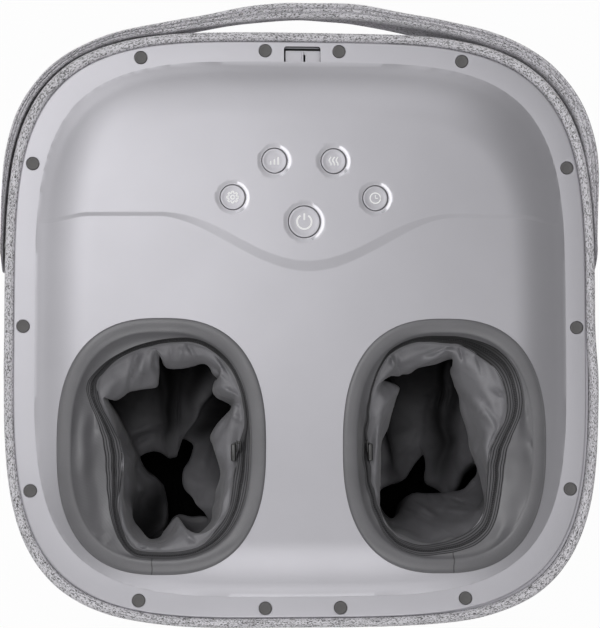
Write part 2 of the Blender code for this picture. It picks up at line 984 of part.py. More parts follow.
def make_cradle(side, sign):
    deck_low = deck_height - deck_thickness
    rings = [
        at_height(cradle_outline(0.0, sign), deck_low),
        at_height(cradle_outline(0.0, sign), cradle_top),
        at_height(cradle_outline(cradle_wall, sign), cradle_top),
        at_height(cradle_outline(cradle_wall, sign), deck_height),
    ]
    cradle = put(skin(f"foot_cradle_{side}", rings), f"foot_cradle_{side}", white_plastic)
    leg_x = cradle_half_x - leg_inset_x
    leg_y = cradle_half_y - leg_inset_y
    feet = [
        (sign * chamber_x + sx * leg_x, chamber_y + sy * leg_y) for sx in (-1, 1) for sy in (-1, 1)
    ]
    legs = posts_mesh(
        f"legs {side}", feet, leg_radius, floor_z + clearance, deck_height - deck_thickness / 2, leg_points
    )
    boolean(cradle, put(legs, f"legs {side}", None), "UNION")
    centre = sign * chamber_x
    shaft_hole = posts_mesh(
        f"shaft hole {side}",
        [(centre, chamber_y)],
        shaft_radius + clearance,
        deck_low - overrun,
        deck_height + overrun,
        axle_points,
    )
    boolean(cradle, put(shaft_hole, f"shaft hole {side}", None))
    axles = posts_mesh(
        f"axle holes {side}",
        [(centre, chamber_y - axle_spacing), (centre, chamber_y + axle_spacing)],
        bore_radius,
        deck_low - overrun,
        deck_height + overrun,
        axle_points,
    )
    boolean(cradle, put(axles, f"axle holes {side}", None))


def gear_outline(teeth, first_tooth):
    """A gear with straight-sided slim teeth, which leaves backlash."""
    pitch_radius = gear_module * teeth / 2
    root = pitch_radius - gear_module * dedendum_share
    tip = pitch_radius + gear_module * addendum_share
    pitch = 2 * math.pi / teeth
    points = []
    for number in range(teeth):
        middle = first_tooth + number * pitch
        for radius, share in (
            (root, -tooth_root_share),
            (tip, -tooth_tip_share),
            (tip, tooth_tip_share),
            (root, tooth_root_share),
        ):
            turn = middle + share * pitch / 2
            points.append((radius * math.cos(turn), radius * math.sin(turn)))
    return points


def make_kneader(name, place):
    half_pitch = math.pi / disc_teeth
    outline = gear_outline(disc_teeth, math.pi / 2 + half_pitch)
    disc = put(prism(name, outline, 0.0, gear_thickness), name, white_plastic, place)
    places = []
    for i in range(head_count):
        turn = 2 * math.pi * i / head_count
        places.append((head_circle * math.cos(turn), head_circle * math.sin(turn)))
    heads = posts_mesh(
        f"heads of {name}",
        places,
        head_radius,
        gear_thickness / 2,
        gear_thickness + head_height,
        head_points,
        head_top_radius,
        head_rounding,
    )
    boolean(disc, put(heads, f"heads of {name}", None, place), "UNION")
    bore = posts_mesh(
        f"bore of {name}", [(0, 0)], bore_radius, -overrun, gear_thickness + overrun, axle_points
    )
    boolean(disc, put(bore, f"bore of {name}", None, place))


def make_axle(name, x, y):
    deck_low = deck_height - deck_thickness
    low_head = deck_low - clearance
    high_head = gear_z + gear_thickness + clearance
    profile = (
        (0, high_head + axle_head_thickness),
        (axle_head_radius, high_head + axle_head_thickness),
        (axle_head_radius, high_head),
        (axle_radius, high_head),
        (axle_radius, low_head),
        (axle_head_radius, low_head),
        (axle_head_radius, low_head - axle_head_thickness),
        (0, low_head - axle_head_thickness),
    )
    turned(name, profile, steel, (x, y, 0), axle_points)


def make_drive(side, sign):
    x = sign * chamber_x
    for row, direction in (("front", -1), ("rear", 1)):
        y = chamber_y + direction * axle_spacing
        make_kneader(f"kneader_{row}_{side}", (x, y, gear_z))
        make_axle(f"kneader_axle_{row}_{side}", x, y)
    motor_top = deck_height - deck_thickness - clearance
    shaft_bore = shaft_radius + clearance
    bore_low = motor_top - shaft_reach - clearance
    body_top = motor_top - motor_collar_height
    body_low = motor_top - motor_length
    profile = (
        (shaft_bore, motor_top),
        (motor_collar_radius, motor_top),
        (motor_collar_radius, body_top),
        (motor_radius, body_top),
        (motor_radius, body_low),
        (0, body_low),
    )
    bore = ((0, bore_low), (shaft_bore, bore_low))
    turned(f"motor_{side}", (*bore, *profile), steel, (x, chamber_y, 0), motor_points)
    outline = gear_outline(pinion_teeth, math.pi / 2)
    place = (x, chamber_y, gear_z)
    name = f"motor_pinion_{side}"
    pinion = put(prism(name, outline, 0.0, gear_thickness), name, white_plastic, place)
    shaft = posts_mesh(
        f"shaft {side}",
        [(0, 0)],
        shaft_radius,
        motor_top - shaft_reach - gear_z,
        gear_thickness / 2,
        axle_points,
    )
    boolean(pinion, put(shaft, f"shaft {side}", None, place), "UNION")


# Air system

def bag_x(sign):
    """Middle of the air bag, which lies on the cradle wall nearer the body's middle."""
    edge = cradle_half_x - cradle_wall
    share = bag_length / 2 / (cradle_half_y - cradle_wall)
    edge *= (1 - share**chamber_exponent) ** (1 / chamber_exponent)
    return sign * (chamber_x - edge + clearance + bag_thickness / 2)


def bag_low_z():
    return cradle_top - bag_height


def make_air_bag(side, sign):
    middle = (bag_x(sign), chamber_y, bag_low_z() + bag_height / 2)
    size = (bag_thickness, bag_length, bag_height)
    mesh = rounded_box(f"air_bag_{side}", size, bag_rounding, segments=2)
    put(mesh, f"air_bag_{side}", bag_blue, middle, smooth_angle=60)


def make_pump():
    low = floor_z + clearance
    size = (pump_width, pump_length, pump_height)
    mesh = rounded_box("air_pump", size, pump_rounding)
    place = (0, pump_y, low + pump_height / 2)
    pump = put(mesh, "air_pump", dark_plastic, place)
    nipple = posts_mesh(
        "pump nipple",
        [(0, 0)],
        nipple_radius,
        pump_height / 2 - pump_rounding,
        pump_height / 2 + nipple_height,
        axle_points,
    )
    boolean(pump, put(nipple, "pump nipple", None, place), "UNION")


def make_hose():
    """From one air bag over the cradle walls to the other, across the pump's outlet."""
    end_z = cradle_top + hose_radius + clearance
    outlet = floor_z + clearance + pump_height + nipple_height + clearance + hose_radius
    reach = abs(bag_x(1))
    route = []
    for i in range(hose_points + 1):
        share = 2 * i / hose_points - 1
        x = share * reach
        sag = smooth(1 - abs(share) / hose_hang_share)
        route.append((x, chamber_y + (pump_y - chamber_y) * sag, end_z + (outlet - end_z) * sag))
    curve = bpy.data.curves.new("air_hose", "CURVE")
    curve.dimensions = "3D"
    curve.bevel_depth = hose_radius
    curve.bevel_resolution = 1
    curve.use_fill_caps = True
    spline = curve.splines.new("POLY")
    spline.points.add(len(route) - 1)
    for point, place in zip(spline.points, route):
        point.co = (*place, 1)
    obj = bpy.data.objects.new("air_hose", curve)
    curve.materials.append(rubber)
    parts.objects.link(obj)
    obj.parent = body


# Controls

def button_surface(x, y):
    return panel_z(x, y) + raised(x, y)


def button_tops():
    return [button_surface(x, y) for x, y, _ in buttons.values()]


def shoulder_low():
    """Underside of the lowest button's shoulder."""
    return min(button_tops()) - panel_thickness - step_height - shoulder_slack - shoulder_thickness


def carrier_top():
    return shoulder_low() - carrier_gap


def carrier_corners():
    xs = [x for x, _, _ in buttons.values()]
    ys = [y for _, y, _ in buttons.values()]
    return (
        min(xs) - carrier_margin,
        max(xs) + carrier_margin,
        min(ys) - carrier_margin,
        max(ys) + carrier_margin,
    )


def carrier_posts():
    left, right, front, back = carrier_corners()
    inset = post_radius * 2
    return [(x, y) for x in (left + inset, right - inset) for y in (front + inset, back - inset)]


def make_button(name):
    x, y, radius = buttons[name]
    top = button_surface(x, y) - button_sink
    under = button_surface(x, y) - panel_thickness - step_height - shoulder_slack
    stem_low = carrier_top() - carrier_thickness - clearance
    wide = radius + button_shoulder
    profile = (
        (0, top),
        (radius - button_rounding, top),
        (radius, top - button_rounding),
        (radius, under),
        (wide, under),
        (wide, under - shoulder_thickness),
        (stem_radius, under - shoulder_thickness),
        (stem_radius, stem_low),
        (0, stem_low),
    )
    profile = [(r, z - top) for r, z in profile]
    turned(name, profile, silver, (x, y, top), button_points)


def make_controls():
    for name in buttons:
        make_button(name)
    left, right, front, back = carrier_corners()
    middle = ((left + right) / 2, (front + back) / 2)
    top = carrier_top()
    outline = rounded_rectangle(right - left, back - front, carrier_rounding, middle)
    low = top - carrier_thickness
    carrier = put(prism("button_carrier", outline, low, top), "button_carrier", white_plastic)
    legs = posts_mesh(
        "carrier legs", carrier_posts(), post_radius, low - carrier_leg_height, top - carrier_thickness / 2, post_points
    )
    boolean(carrier, put(legs, "carrier legs", None), "UNION")
    guides = posts_mesh(
        "stem guides",
        [(x, y) for x, y, _ in buttons.values()],
        stem_radius + clearance,
        low - overrun,
        top + overrun,
        axle_points,
    )
    boolean(carrier, put(guides, "stem guides", None))
    board_top = low - carrier_leg_height - clearance
    switch_top = low - clearance - button_travel - clearance
    board = put(
        prism("control_board", outline, board_top - board_thickness, board_top), "control_board", board_green
    )
    half = switch_size / 2
    for number, (x, y, _) in enumerate(buttons.values()):
        switch = box_mesh(
            f"switch {number}",
            [((x - half, y - half, board_top - board_thickness / 2), (x + half, y + half, switch_top))],
        )
        boolean(board, put(switch, f"switch {number}", None), "UNION")


# Base fittings

def main_board_middle():
    back = body_depth / 2 - wall_inner_inset
    return (0.0, back - main_board_margin - main_board_length / 2)


def main_board_posts():
    x, y = main_board_middle()
    inset = post_radius * 2
    return [
        (x + sx * (main_board_width / 2 - inset), y + sy * (main_board_length / 2 - inset))
        for sx in (-1, 1)
        for sy in (-1, 1)
    ]


def make_main_board():
    x, y = main_board_middle()
    low = floor_z + main_board_stand + clearance
    top = low + board_thickness
    corner = (x - main_board_width / 2, y - main_board_length / 2, low)
    far = (x + main_board_width / 2, y + main_board_length / 2, top)
    board = put(box_mesh("main_board", [(corner, far)]), "main_board", board_green)
    part_length = main_board_length / 2
    for number, (place_share, width_share, height_share) in enumerate(component_shares):
        middle = x + main_board_width * place_share
        width = main_board_width * width_share
        low_corner = (middle - width / 2, y - part_length / 2, top - board_thickness / 2)
        high_corner = (middle + width / 2, y + part_length / 2, top + main_board_length * height_share)
        block = box_mesh(f"component {number}", [(low_corner, high_corner)])
        boolean(board, put(block, f"component {number}", None), "UNION")


def make_pads():
    half_x = body_width / 2 - pad_inset
    half_y = body_depth / 2 - pad_inset
    for row, sy in (("front", -1), ("rear", 1)):
        for side, sx in sides.items():
            name = f"rubber_foot_{row}_{side}"
            profile = (
                (0, pad_height),
                (pad_radius, pad_height),
                (pad_radius, pad_height / 3),
                (pad_radius - pad_height / 3, 0),
                (0, 0),
            )
            turned(name, profile, rubber, (sx * half_x, sy * half_y, 0), pad_points)


def make_power_inlet():
    back = body_depth / 2 - skirt_inset
    back *= (1 - (inlet_x / (body_width / 2)) ** body_exponent) ** (1 / body_exponent)
    back -= inlet_wall
    low = (inlet_x - inlet_width / 2, back - inlet_length, inlet_z - inlet_height / 2)
    high = (inlet_x + inlet_width / 2, back, inlet_z + inlet_height / 2)
    inlet = put(box_mesh("power_inlet", [(low, high)]), "power_inlet", dark_plastic)
    hollow = box_mesh(
        "inlet hollow",
        [
            (
                (low[0] + inlet_wall, back - inlet_depth, low[2] + inlet_wall),
                (high[0] - inlet_wall, back + overrun, high[2] - inlet_wall),
            )
        ],
    )
    boolean(inlet, put(hollow, "inlet hollow", None))
    for number, shift in enumerate((-inlet_pin_spacing / 2, inlet_pin_spacing / 2)):
        x = inlet_x + shift
        pin = box_mesh(
            f"contact {number}",
            [
                (
                    (x - inlet_pin_radius, back - inlet_depth - inlet_wall, inlet_z - inlet_pin_radius),
                    (x + inlet_pin_radius, back - inlet_wall, inlet_z + inlet_pin_radius),
                )
            ],
        )
        boolean(inlet, put(pin, f"contact {number}", None), "UNION")


# Carrying strap

def strap_gap(x, y):
    """Distance from the side cover to the strap's inner face."""
    corner = smooth((y - strap_axis_y) / strap_corner_run)
    arch = 0.0
    if abs(x) < strap_arch_half:
        arch = (1 + math.cos(math.pi * x / strap_arch_half)) / 2
    return strap_side_gap + strap_corner_gap * corner + strap_arch * arch


def strap_depth(x):
    share = smooth(2 * (1 - abs(x) / grip_half_length))
    return strap_thickness + (grip_thickness - strap_thickness) * share


def make_strap():
    half_x = body_width / 2
    half_y = body_depth / 2
    start = math.asin((strap_axis_y - strap_end) / half_x * strap_start_share)
    rings = []
    for i in range(strap_stations + 1):
        turn = start + (math.pi - 2 * start) * i / strap_stations
        from_end = min(i, strap_stations - i) / strap_even_stations
        turn += strap_density * math.sin(4 * turn) / 4 * smooth(from_end)
        c, s = math.cos(turn), math.sin(turn)
        reach = (abs(c) / half_x) ** body_exponent + (abs(s) / half_y) ** body_exponent
        reach **= -1 / body_exponent
        x, y = reach * c, reach * s
        slope = Vector(
            (
                math.copysign((abs(x) / half_x) ** (body_exponent - 1) / half_x, x),
                (abs(y) / half_y) ** (body_exponent - 1) / half_y,
            )
        ).normalized()
        near = strap_gap(x, y)
        far = near + strap_depth(x)
        ring = []
        for distance, z in (
            (near, -strap_width / 2),
            (far, -strap_width / 2),
            (far, strap_width / 2),
            (near, strap_width / 2),
        ):
            ring.append((x + slope.x * distance, y + slope.y * distance - strap_axis_y, z))
        rings.append(ring)
    place = (0, strap_axis_y, strap_z)
    strap = put(skin("handle_strap", rings), "handle_strap", heather, place)
    for side, sign in sides.items():
        boolean(strap, rivet_hole(side, sign))


def make_rivet(side, sign):
    wall = side_x(wall_inner_inset, strap_axis_y + rivet_flange_radius) - 2 * clearance
    head = side_x(0, strap_axis_y - rivet_head_radius) + strap_side_gap + strap_thickness + clearance
    profile = (
        (0, head + rivet_head_thickness),
        (rivet_head_radius, head + rivet_head_thickness),
        (rivet_head_radius, head),
        (rivet_radius, head),
        (rivet_radius, wall),
        (rivet_flange_radius, wall),
        (rivet_flange_radius, wall - rivet_head_thickness),
        (0, wall - rivet_head_thickness),
    )
    name = f"strap_rivet_{side}"
    rivet = turned(name, profile, steel, (0, strap_axis_y, strap_z), rivet_points, "X")
    rivet.rotation_euler = (0, 0, 0 if sign > 0 else math.pi)


make_base_shell()
make_side_cover()
make_clamp_ring()
make_plugs()
make_top_panel()
make_controls()
make_main_board()
make_pads()
make_power_inlet()
make_pump()
make_hose()
make_strap()
for side, sign in sides.items():
    make_collar(side, sign)
    make_zip(side, sign)
    make_liner(side, sign)
    make_cradle(side, sign)
    make_drive(side, sign)
    make_air_bag(side, sign)
    make_rivet(side, sign)
print("pieces:", len([obj for obj in parts.objects if obj.type != "EMPTY"]))
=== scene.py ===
from math import asin, atan2, copysign, cos, degrees, exp, hypot, inf, pi, radians, sin

import bmesh
import bpy
from mathutils import Matrix, Vector, noise


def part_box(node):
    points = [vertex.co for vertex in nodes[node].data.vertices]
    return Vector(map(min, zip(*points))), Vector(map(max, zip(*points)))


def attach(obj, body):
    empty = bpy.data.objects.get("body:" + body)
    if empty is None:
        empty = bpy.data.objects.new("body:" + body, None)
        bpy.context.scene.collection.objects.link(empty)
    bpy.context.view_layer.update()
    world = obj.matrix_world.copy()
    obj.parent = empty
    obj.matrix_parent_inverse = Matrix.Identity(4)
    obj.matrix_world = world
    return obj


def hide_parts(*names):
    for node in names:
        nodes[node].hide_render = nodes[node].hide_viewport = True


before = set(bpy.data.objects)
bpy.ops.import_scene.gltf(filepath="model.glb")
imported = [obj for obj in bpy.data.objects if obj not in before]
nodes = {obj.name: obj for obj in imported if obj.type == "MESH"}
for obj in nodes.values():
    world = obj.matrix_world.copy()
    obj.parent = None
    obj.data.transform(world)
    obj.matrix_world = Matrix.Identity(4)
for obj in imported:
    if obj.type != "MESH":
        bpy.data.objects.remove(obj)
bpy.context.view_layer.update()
print("frame loaded:", len(nodes), "nodes")

# Sizes that several pieces share, in metres, from the body's middle. They repeat the CAD part's.
body = {"width": 0.415, "depth": 0.417, "rim": 0.212, "roundness": 4.0, "behind": -0.01085}
opening = {"x": 0.0978, "y": -0.0828, "halfX": 0.0715, "halfY": 0.0878, "roundness": 2.55, "mouthX": 0.0881}
sides = {"left": -1, "right": 1}


# Camera: above the body, a little to the left and the front of its middle
view = {"place": (-0.089, -0.085, 1.512), "turn": (3.657, -3.83, -0.08), "lens": 107.5, "sensor": 36,
        "width": 600, "height": 628}


def addCamera():
    data = bpy.data.cameras.new("camera")
    data.lens = view["lens"]
    data.clip_end = 20
    camera = bpy.data.objects.new("camera", data)
    camera.location = view["place"]
    camera.rotation_euler = [radians(turn) for turn in view["turn"]]
    bpy.context.scene.collection.objects.link(camera)
    bpy.context.scene.camera = camera
    bpy.context.view_layer.update()
    return camera


camera = addCamera()


def seenAt(across, down, z):
    # Where the camera sees this spot of its frame, at height z; measured from the body's middle
    reach = view["lens"] / view["sensor"] * view["height"]
    ray = camera.matrix_world.to_3x3() @ Vector(
        ((across - view["width"] / 2) / reach, (view["height"] / 2 - down) / reach, -1)
    )
    start = Vector(view["place"])
    found = start + ray * ((z - start.z) / ray.z)
    return Vector((found.x, found.y - body["behind"], z))


# Outlines

def smooth(share):
    share = min(max(share, 0.0), 1.0)
    return share * share * (3 - 2 * share)


def mix(first, second, share):
    return first + (second - first) * share


def reachAt(turn, halfX, halfY, roundness):
    reach = (abs(cos(turn)) / halfX) ** roundness + (abs(sin(turn)) / halfY) ** roundness
    return reach ** (-1 / roundness)


def shareAt(x, y, halfX, halfY, roundness):
    # 0 in the outline's middle, 1 on the outline
    return ((abs(x) / halfX) ** roundness + (abs(y) / halfY) ** roundness) ** (1 / roundness)


def superellipse(halfX, halfY, roundness, count, centre=(0.0, 0.0)):
    points = []
    for i in range(count):
        turn = 2 * pi * i / count
        reach = reachAt(turn, halfX, halfY, roundness)
        points.append((centre[0] + reach * cos(turn), centre[1] + reach * sin(turn)))
    return points


def bodyRing(inset, z, count=320):
    outline = superellipse(body["width"] / 2 - inset, body["depth"] / 2 - inset, body["roundness"], count)
    return [(x, y, z) for x, y in outline]


def openingOutline(sign, inset, count):
    halves = opening["halfX"] - inset, opening["halfY"] - inset
    return superellipse(*halves, opening["roundness"], count, (sign * opening["x"], opening["y"]))


def arc(radius, turns):
    return [(radius * cos(turn), radius * sin(turn)) for turn in turns]


def roundedEdge(x, z, radius, steps, way=1):
    # A quarter round from the wall at x to the top at z
    turns = [pi / 2 * i / steps for i in range(1, steps + 1)]
    return [(x + way * radius * (1 - cos(turn)), z - radius * (1 - sin(turn))) for turn in turns]


def closedRows(rows):
    return [[*row, row[0]] for row in rows]


def lengthsAlong(points):
    lengths = [0.0]
    for first, second in zip(points, points[1:]):
        lengths.append(lengths[-1] + (Vector(second) - Vector(first)).length)
    return lengths


def evened(values, reach, start=0):
    # Each value of a closed row becomes the mean of those around it
    count, shifts = len(values), range(-reach, reach + 1)
    return [sum((values[(i + shift) % count] for shift in shifts), start) / len(shifts) for i in range(count)]


# Working in Blender

def onlySelect(*pieces):
    bpy.ops.object.select_all(action="DESELECT")
    for piece in pieces:
        piece.select_set(True)
        bpy.context.view_layer.objects.active = pieces[0]


def named(name):
    piece = bpy.context.object
    piece.name = piece.data.name = name
    return piece


def applyModifiers(piece):
    onlySelect(piece)
    for modifier in list(piece.modifiers):
        bpy.ops.object.modifier_apply(modifier=modifier.name)


def editAll():
    bpy.ops.object.mode_set(mode="EDIT")
    bpy.ops.mesh.select_all(action="SELECT")


def smoothShade(piece, angle):
    onlySelect(piece)
    bpy.ops.object.shade_smooth_by_angle(angle=radians(angle))


def cleanUp(piece, angle, merge=0.00001, inside=False, openEnds=False):
    onlySelect(piece)
    editAll()
    bpy.ops.mesh.remove_doubles(threshold=merge)
    if openEnds:
        bpy.ops.mesh.select_all(action="DESELECT")
        bpy.ops.mesh.select_non_manifold()
        bpy.ops.mesh.edge_face_add()
        bpy.ops.mesh.select_all(action="SELECT")
    bpy.ops.mesh.normals_make_consistent(inside=inside)
    bpy.ops.object.mode_set(mode="OBJECT")
    smoothShade(piece, angle)


def selectPoints(piece, wanted):
    bpy.ops.mesh.select_all(action="DESELECT")
    mesh = bmesh.from_edit_mesh(piece.data)
    mesh.verts.ensure_lookup_table()
    for number in wanted:
        mesh.verts[number].select = True
    mesh.select_flush(True)
    bmesh.update_edit_mesh(piece.data)


def loft(name, rings, closedRound=False, angle=35):
    # A circle that is extruded ring by ring
    count = len(rings[0])
    onlySelect()
    bpy.ops.mesh.primitive_circle_add(vertices=count, radius=0.1, fill_type="NOTHING")
    piece = named(name)
    editAll()
    for number, ring in enumerate(rings):
        if number:
            bpy.ops.mesh.extrude_region_move()
        mesh = bmesh.from_edit_mesh(piece.data)
        mesh.verts.ensure_lookup_table()
        for vertex, point in zip(mesh.verts[-count:], ring):
            vertex.co = point
        bmesh.update_edit_mesh(piece.data)
    first = list(range(count))
    last = [number + count * (len(rings) - 1) for number in first]
    if closedRound:
        selectPoints(piece, first + last)
        bpy.ops.mesh.bridge_edge_loops()
    else:
        for end in (first, last):
            selectPoints(piece, end)
            bpy.ops.mesh.edge_face_add()
    bpy.ops.object.mode_set(mode="OBJECT")
    cleanUp(piece, angle)
    return piece


def turned(name, profile, steps=64, place=(0, 0, 0), angle=35, lean=(0.0, 0.0)):
    # Rings of one centre, from (radius, height) pairs; a radius of zero closes an end
    rings = []
    for radius, height in profile:
        spots = arc(max(radius, 0.0000001), [2 * pi * i / steps for i in range(steps)])
        rings.append([(place[0] + x, place[1] + y, place[2] + height + lean[0] * x + lean[1] * y)
                      for x, y in spots])
    return loft(name, rings, angle=angle)


def clothGrid(name, rows, along, across=None):
    # A grid whose rows are placed one by one, with a UV map in metres that follows the cloth
    columns = len(rows[0])
    across = across or lengthsAlong([row[0] for row in rows])
    onlySelect()
    bpy.ops.mesh.primitive_grid_add(x_subdivisions=columns - 1, y_subdivisions=len(rows) - 1, size=0.1)
    piece = named(name)
    for number, row in enumerate(rows):
        for step, point in enumerate(row):
            piece.data.vertices[number * columns + step].co = point
    uv = piece.data.uv_layers[0].data
    for loop in piece.data.loops:
        number, step = divmod(loop.vertex_index, columns)
        uv[loop.index].uv = (along[step], across[number])
    return piece


def block(name, place, size):
    onlySelect()
    bpy.ops.mesh.primitive_cube_add(size=1, location=place, scale=size)
    bpy.ops.object.transform_apply(location=True, rotation=True, scale=True)
    return named(name)


def rounded(piece, width, segments):
    edge = piece.modifiers.new("edge", "BEVEL")
    edge.width, edge.segments = width, segments
    applyModifiers(piece)
    return piece


def thicken(piece, thickness, offset=-1):
    wall = piece.modifiers.new("wall", "SOLIDIFY")
    wall.thickness, wall.offset = thickness, offset
    applyModifiers(piece)


def cut(piece, cutter, operation="DIFFERENCE"):
    step = piece.modifiers.new("cut", "BOOLEAN")
    step.operation, step.object, step.solver = operation, cutter, "EXACT"
    applyModifiers(piece)
    bpy.data.objects.remove(cutter)


def prism(name, outline, low, high):
    return loft(name, [[(x, y, z) for x, y in outline] for z in (low, high)])


def join(first, *others):
    onlySelect(first, *others)
    bpy.ops.object.join()
    return first


def dress(piece, *finishes):
    piece.data.materials.clear()
    for made in finishes:
        piece.data.materials.append(made)


def settle(piece, bodyName, slot, *replaced):
    # Everything is modelled about the body's middle, which stands a little in front of the frame's
    piece.data.transform(Matrix.Translation((0, body["behind"], 0)))
    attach(piece, bodyName)
    if replaced:
        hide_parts(*replaced)
    return piece


# Finishes: a socket knows its node tree, so only the first node of each finish names it

def node(tree, kind, inputs=None, **settings):
    made = tree.nodes.new("ShaderNode" + kind)
    for key, value in settings.items():
        setattr(made, key, value)
    for key, value in (inputs or {}).items():
        if isinstance(value, bpy.types.NodeSocket):
            tree.links.new(value, made.inputs[key])
        else:
            made.inputs[key].default_value = value
    return made


def maths(operation, first, second=0.0):
    tree = (first if isinstance(first, bpy.types.NodeSocket) else second).id_data
    return node(tree, "Math", {0: first, 1: second}, operation=operation).outputs[0]


def times(first, second):
    return maths("MULTIPLY", first, second)


def plus(first, second):
    return maths("ADD", first, second)


def distance(first, second):
    return maths("ABSOLUTE", maths("SUBTRACT", first, second))


def coordinates(tree, kind="Object"):
    return node(tree, "TexCoord").outputs[kind]


def apart(place):
    return node(place.id_data, "SeparateXYZ", {0: place}).outputs


def speckle(place, scale, detail, distortion=0.0):
    inputs = {"Vector": place, "Scale": scale, "Detail": detail, "Distortion": distortion}
    return node(place.id_data, "TexNoise", inputs).outputs[0]


def ranged(value, low, high, first, last):
    return node(value.id_data, "MapRange", {0: value, 1: low, 2: high, 3: first, 4: last}).outputs[0]


def ramp(fac, stops):
    made = node(fac.id_data, "ValToRGB", {0: fac})
    elements = made.color_ramp.elements
    while len(elements) < len(stops):
        elements.new(0.5)
    for element, (place, colour) in zip(elements, stops):
        element.position = place
        element.color = (*colour, 1)
    return made.outputs[0]


def multiplied(colour, shade):
    return node(colour.id_data, "MixRGB", {0: 1.0, 1: colour, 2: shade}, blend_type="MULTIPLY").outputs[0]


def grey(level, tint=(1.0, 1.0, 1.0)):
    return tuple(level * part for part in tint)


def wire(shader, key, value):
    shader.id_data.links.new(value, shader.inputs[key])


def bump(shader, strength, distance, height, **under):
    inputs = {"Strength": strength, "Distance": distance, "Height": height, **under}
    wire(shader, "Normal", node(shader.id_data, "Bump", inputs).outputs[0])


def finish(name, roughness, **sockets):
    made = bpy.data.materials.new(name)
    made.use_nodes = True
    tree = made.node_tree
    shader = tree.nodes["Principled BSDF"]
    shader.inputs["Roughness"].default_value = roughness
    for key, value in sockets.items():
        shader.inputs[key.replace("_", " ")].default_value = value
    return made, tree, shader


def opened(made):
    # A finish's tree, shader and colour, for one more layer
    shader = made.node_tree.nodes["Principled BSDF"]
    return made.node_tree, shader, shader.inputs["Base Color"].links[0].from_socket


plastic = {"clouds": 18.0, "cloudy": 0.02, "sparks": 2600.0, "uneven": 0.04, "relief": 0.0003}


def mouldedPlastic(name, level, tint, roughness, grain=0.03, metallic=0.0):
    made, tree, shader = finish(name, roughness, Metallic=metallic)
    place = coordinates(tree)
    darker, lighter = level * (1 - plastic["cloudy"]), level * (1 + plastic["cloudy"])
    slow = speckle(place, plastic["clouds"], 3.0)
    wire(shader, "Base Color", ramp(slow, ((0.3, grey(darker, tint)), (0.7, grey(lighter, tint)))))
    spark = speckle(place, plastic["sparks"], 2.0)
    uneven = plastic["uneven"]
    wire(shader, "Roughness", ranged(spark, 0.3, 0.7, roughness - uneven, roughness + uneven))
    bump(shader, grain, plastic["relief"], spark)
    return made


heather = {"wale": 0.0007, "course": 0.00040, "yarn": 0.0011, "dark": 0.09, "middle": 0.93, "light": 0.96,
           "streak": 0.0007, "run": 0.030, "tint": (1.01, 0.99, 1.04), "relief": 0.0004, "roughness": 0.85,
           "sheen": 0.60, "lean": 0.9, "fibre": 1500.0, "uneven": 0.9}


def heatherKnit(name, share=1.0):
    made, tree, shader = finish(name, heather["roughness"], Sheen_Weight=heather["sheen"],
                                Sheen_Roughness=0.5)
    flow = coordinates(tree, "UV")
    u, v, _ = apart(flow)

    def counted(across, yarnLong, yarnWide):
        parts = {0: maths("DIVIDE", u, yarnLong), 1: maths("DIVIDE", across, yarnWide)}
        return node(tree, "CombineXYZ", parts).outputs[0]

    # Each stitch is a V: its legs lean as the wale's two halves do
    slanted = plus(v, times(maths("PINGPONG", u, heather["wale"] / 2), heather["lean"]))
    yarn = counted(slanted, heather["yarn"], heather["course"])
    cells = node(tree, "TexVoronoi", {"Vector": yarn, "Scale": 1.0, "Randomness": heather["uneven"]})
    tone = node(tree, "SeparateColor", {0: cells.outputs["Color"]}).outputs[0]
    fibre = speckle(flow, heather["fibre"], 3.0)
    # share lightens or darkens the whole knit: the strap's copy is painted lighter, for the light its faces
    # lack
    tint = [share * part for part in heather["tint"]]
    colour = ramp(plus(times(tone, 0.7), times(fibre, 0.3)), (
        (0.22, grey(heather["dark"], tint)), (0.33, grey(heather["middle"] * 0.6, tint)),
        (0.44, grey(heather["middle"], tint)), (0.80, grey(heather["light"], tint))
    ))
    # Some yarns are lighter or darker over a long run
    streak = speckle(counted(v, heather["run"], heather["streak"]), 1.0, 1.0)
    colour = multiplied(colour, ramp(streak, ((0.36, grey(0.78)), (0.52, grey(1.05)))))
    wire(shader, "Base Color", colour)
    rib = maths("SINE", times(slanted, 2 * pi / heather["course"]))
    groove = maths("ABSOLUTE", maths("SINE", times(u, pi / heather["wale"])))
    height = plus(plus(times(rib, 0.35), times(groove, 0.8)), times(fibre, 0.6))
    bump(shader, 0.5, heather["relief"], height)
    return made


woven = {"fibre": 1800.0, "clouds": 40.0, "dark": 0.88, "light": 1.12, "waves": 6.28, "relief": 0.0002}


def fineCloth(name, level, tint, roughness, thread, strength, sheen):
    made, tree, shader = finish(name, roughness, Sheen_Weight=sheen, Sheen_Roughness=0.4)
    place = coordinates(tree)
    fibre = speckle(place, woven["fibre"], 2.0)
    mixed = plus(times(speckle(place, woven["clouds"], 4.0), 0.6), times(fibre, 0.4))
    stops = (0.3, grey(level * woven["dark"], tint)), (0.7, grey(level * woven["light"], tint))
    wire(shader, "Base Color", ramp(mixed, stops))
    weave = node(tree, "TexWave", {
        "Vector": place, "Scale": 1 / thread / woven["waves"], "Distortion": 1.5, "Detail": 1.0,
        "Detail Scale": 2.0
    }, bands_direction="DIAGONAL")
    bump(shader, strength, woven["relief"], plus(times(weave.outputs["Fac"], 0.5), fibre))
    return made


pocketCloth = {"shine": 0.5, "sheen": 0.2, "crease": 0.6, "relief": 0.0075, "creases": 38.0}


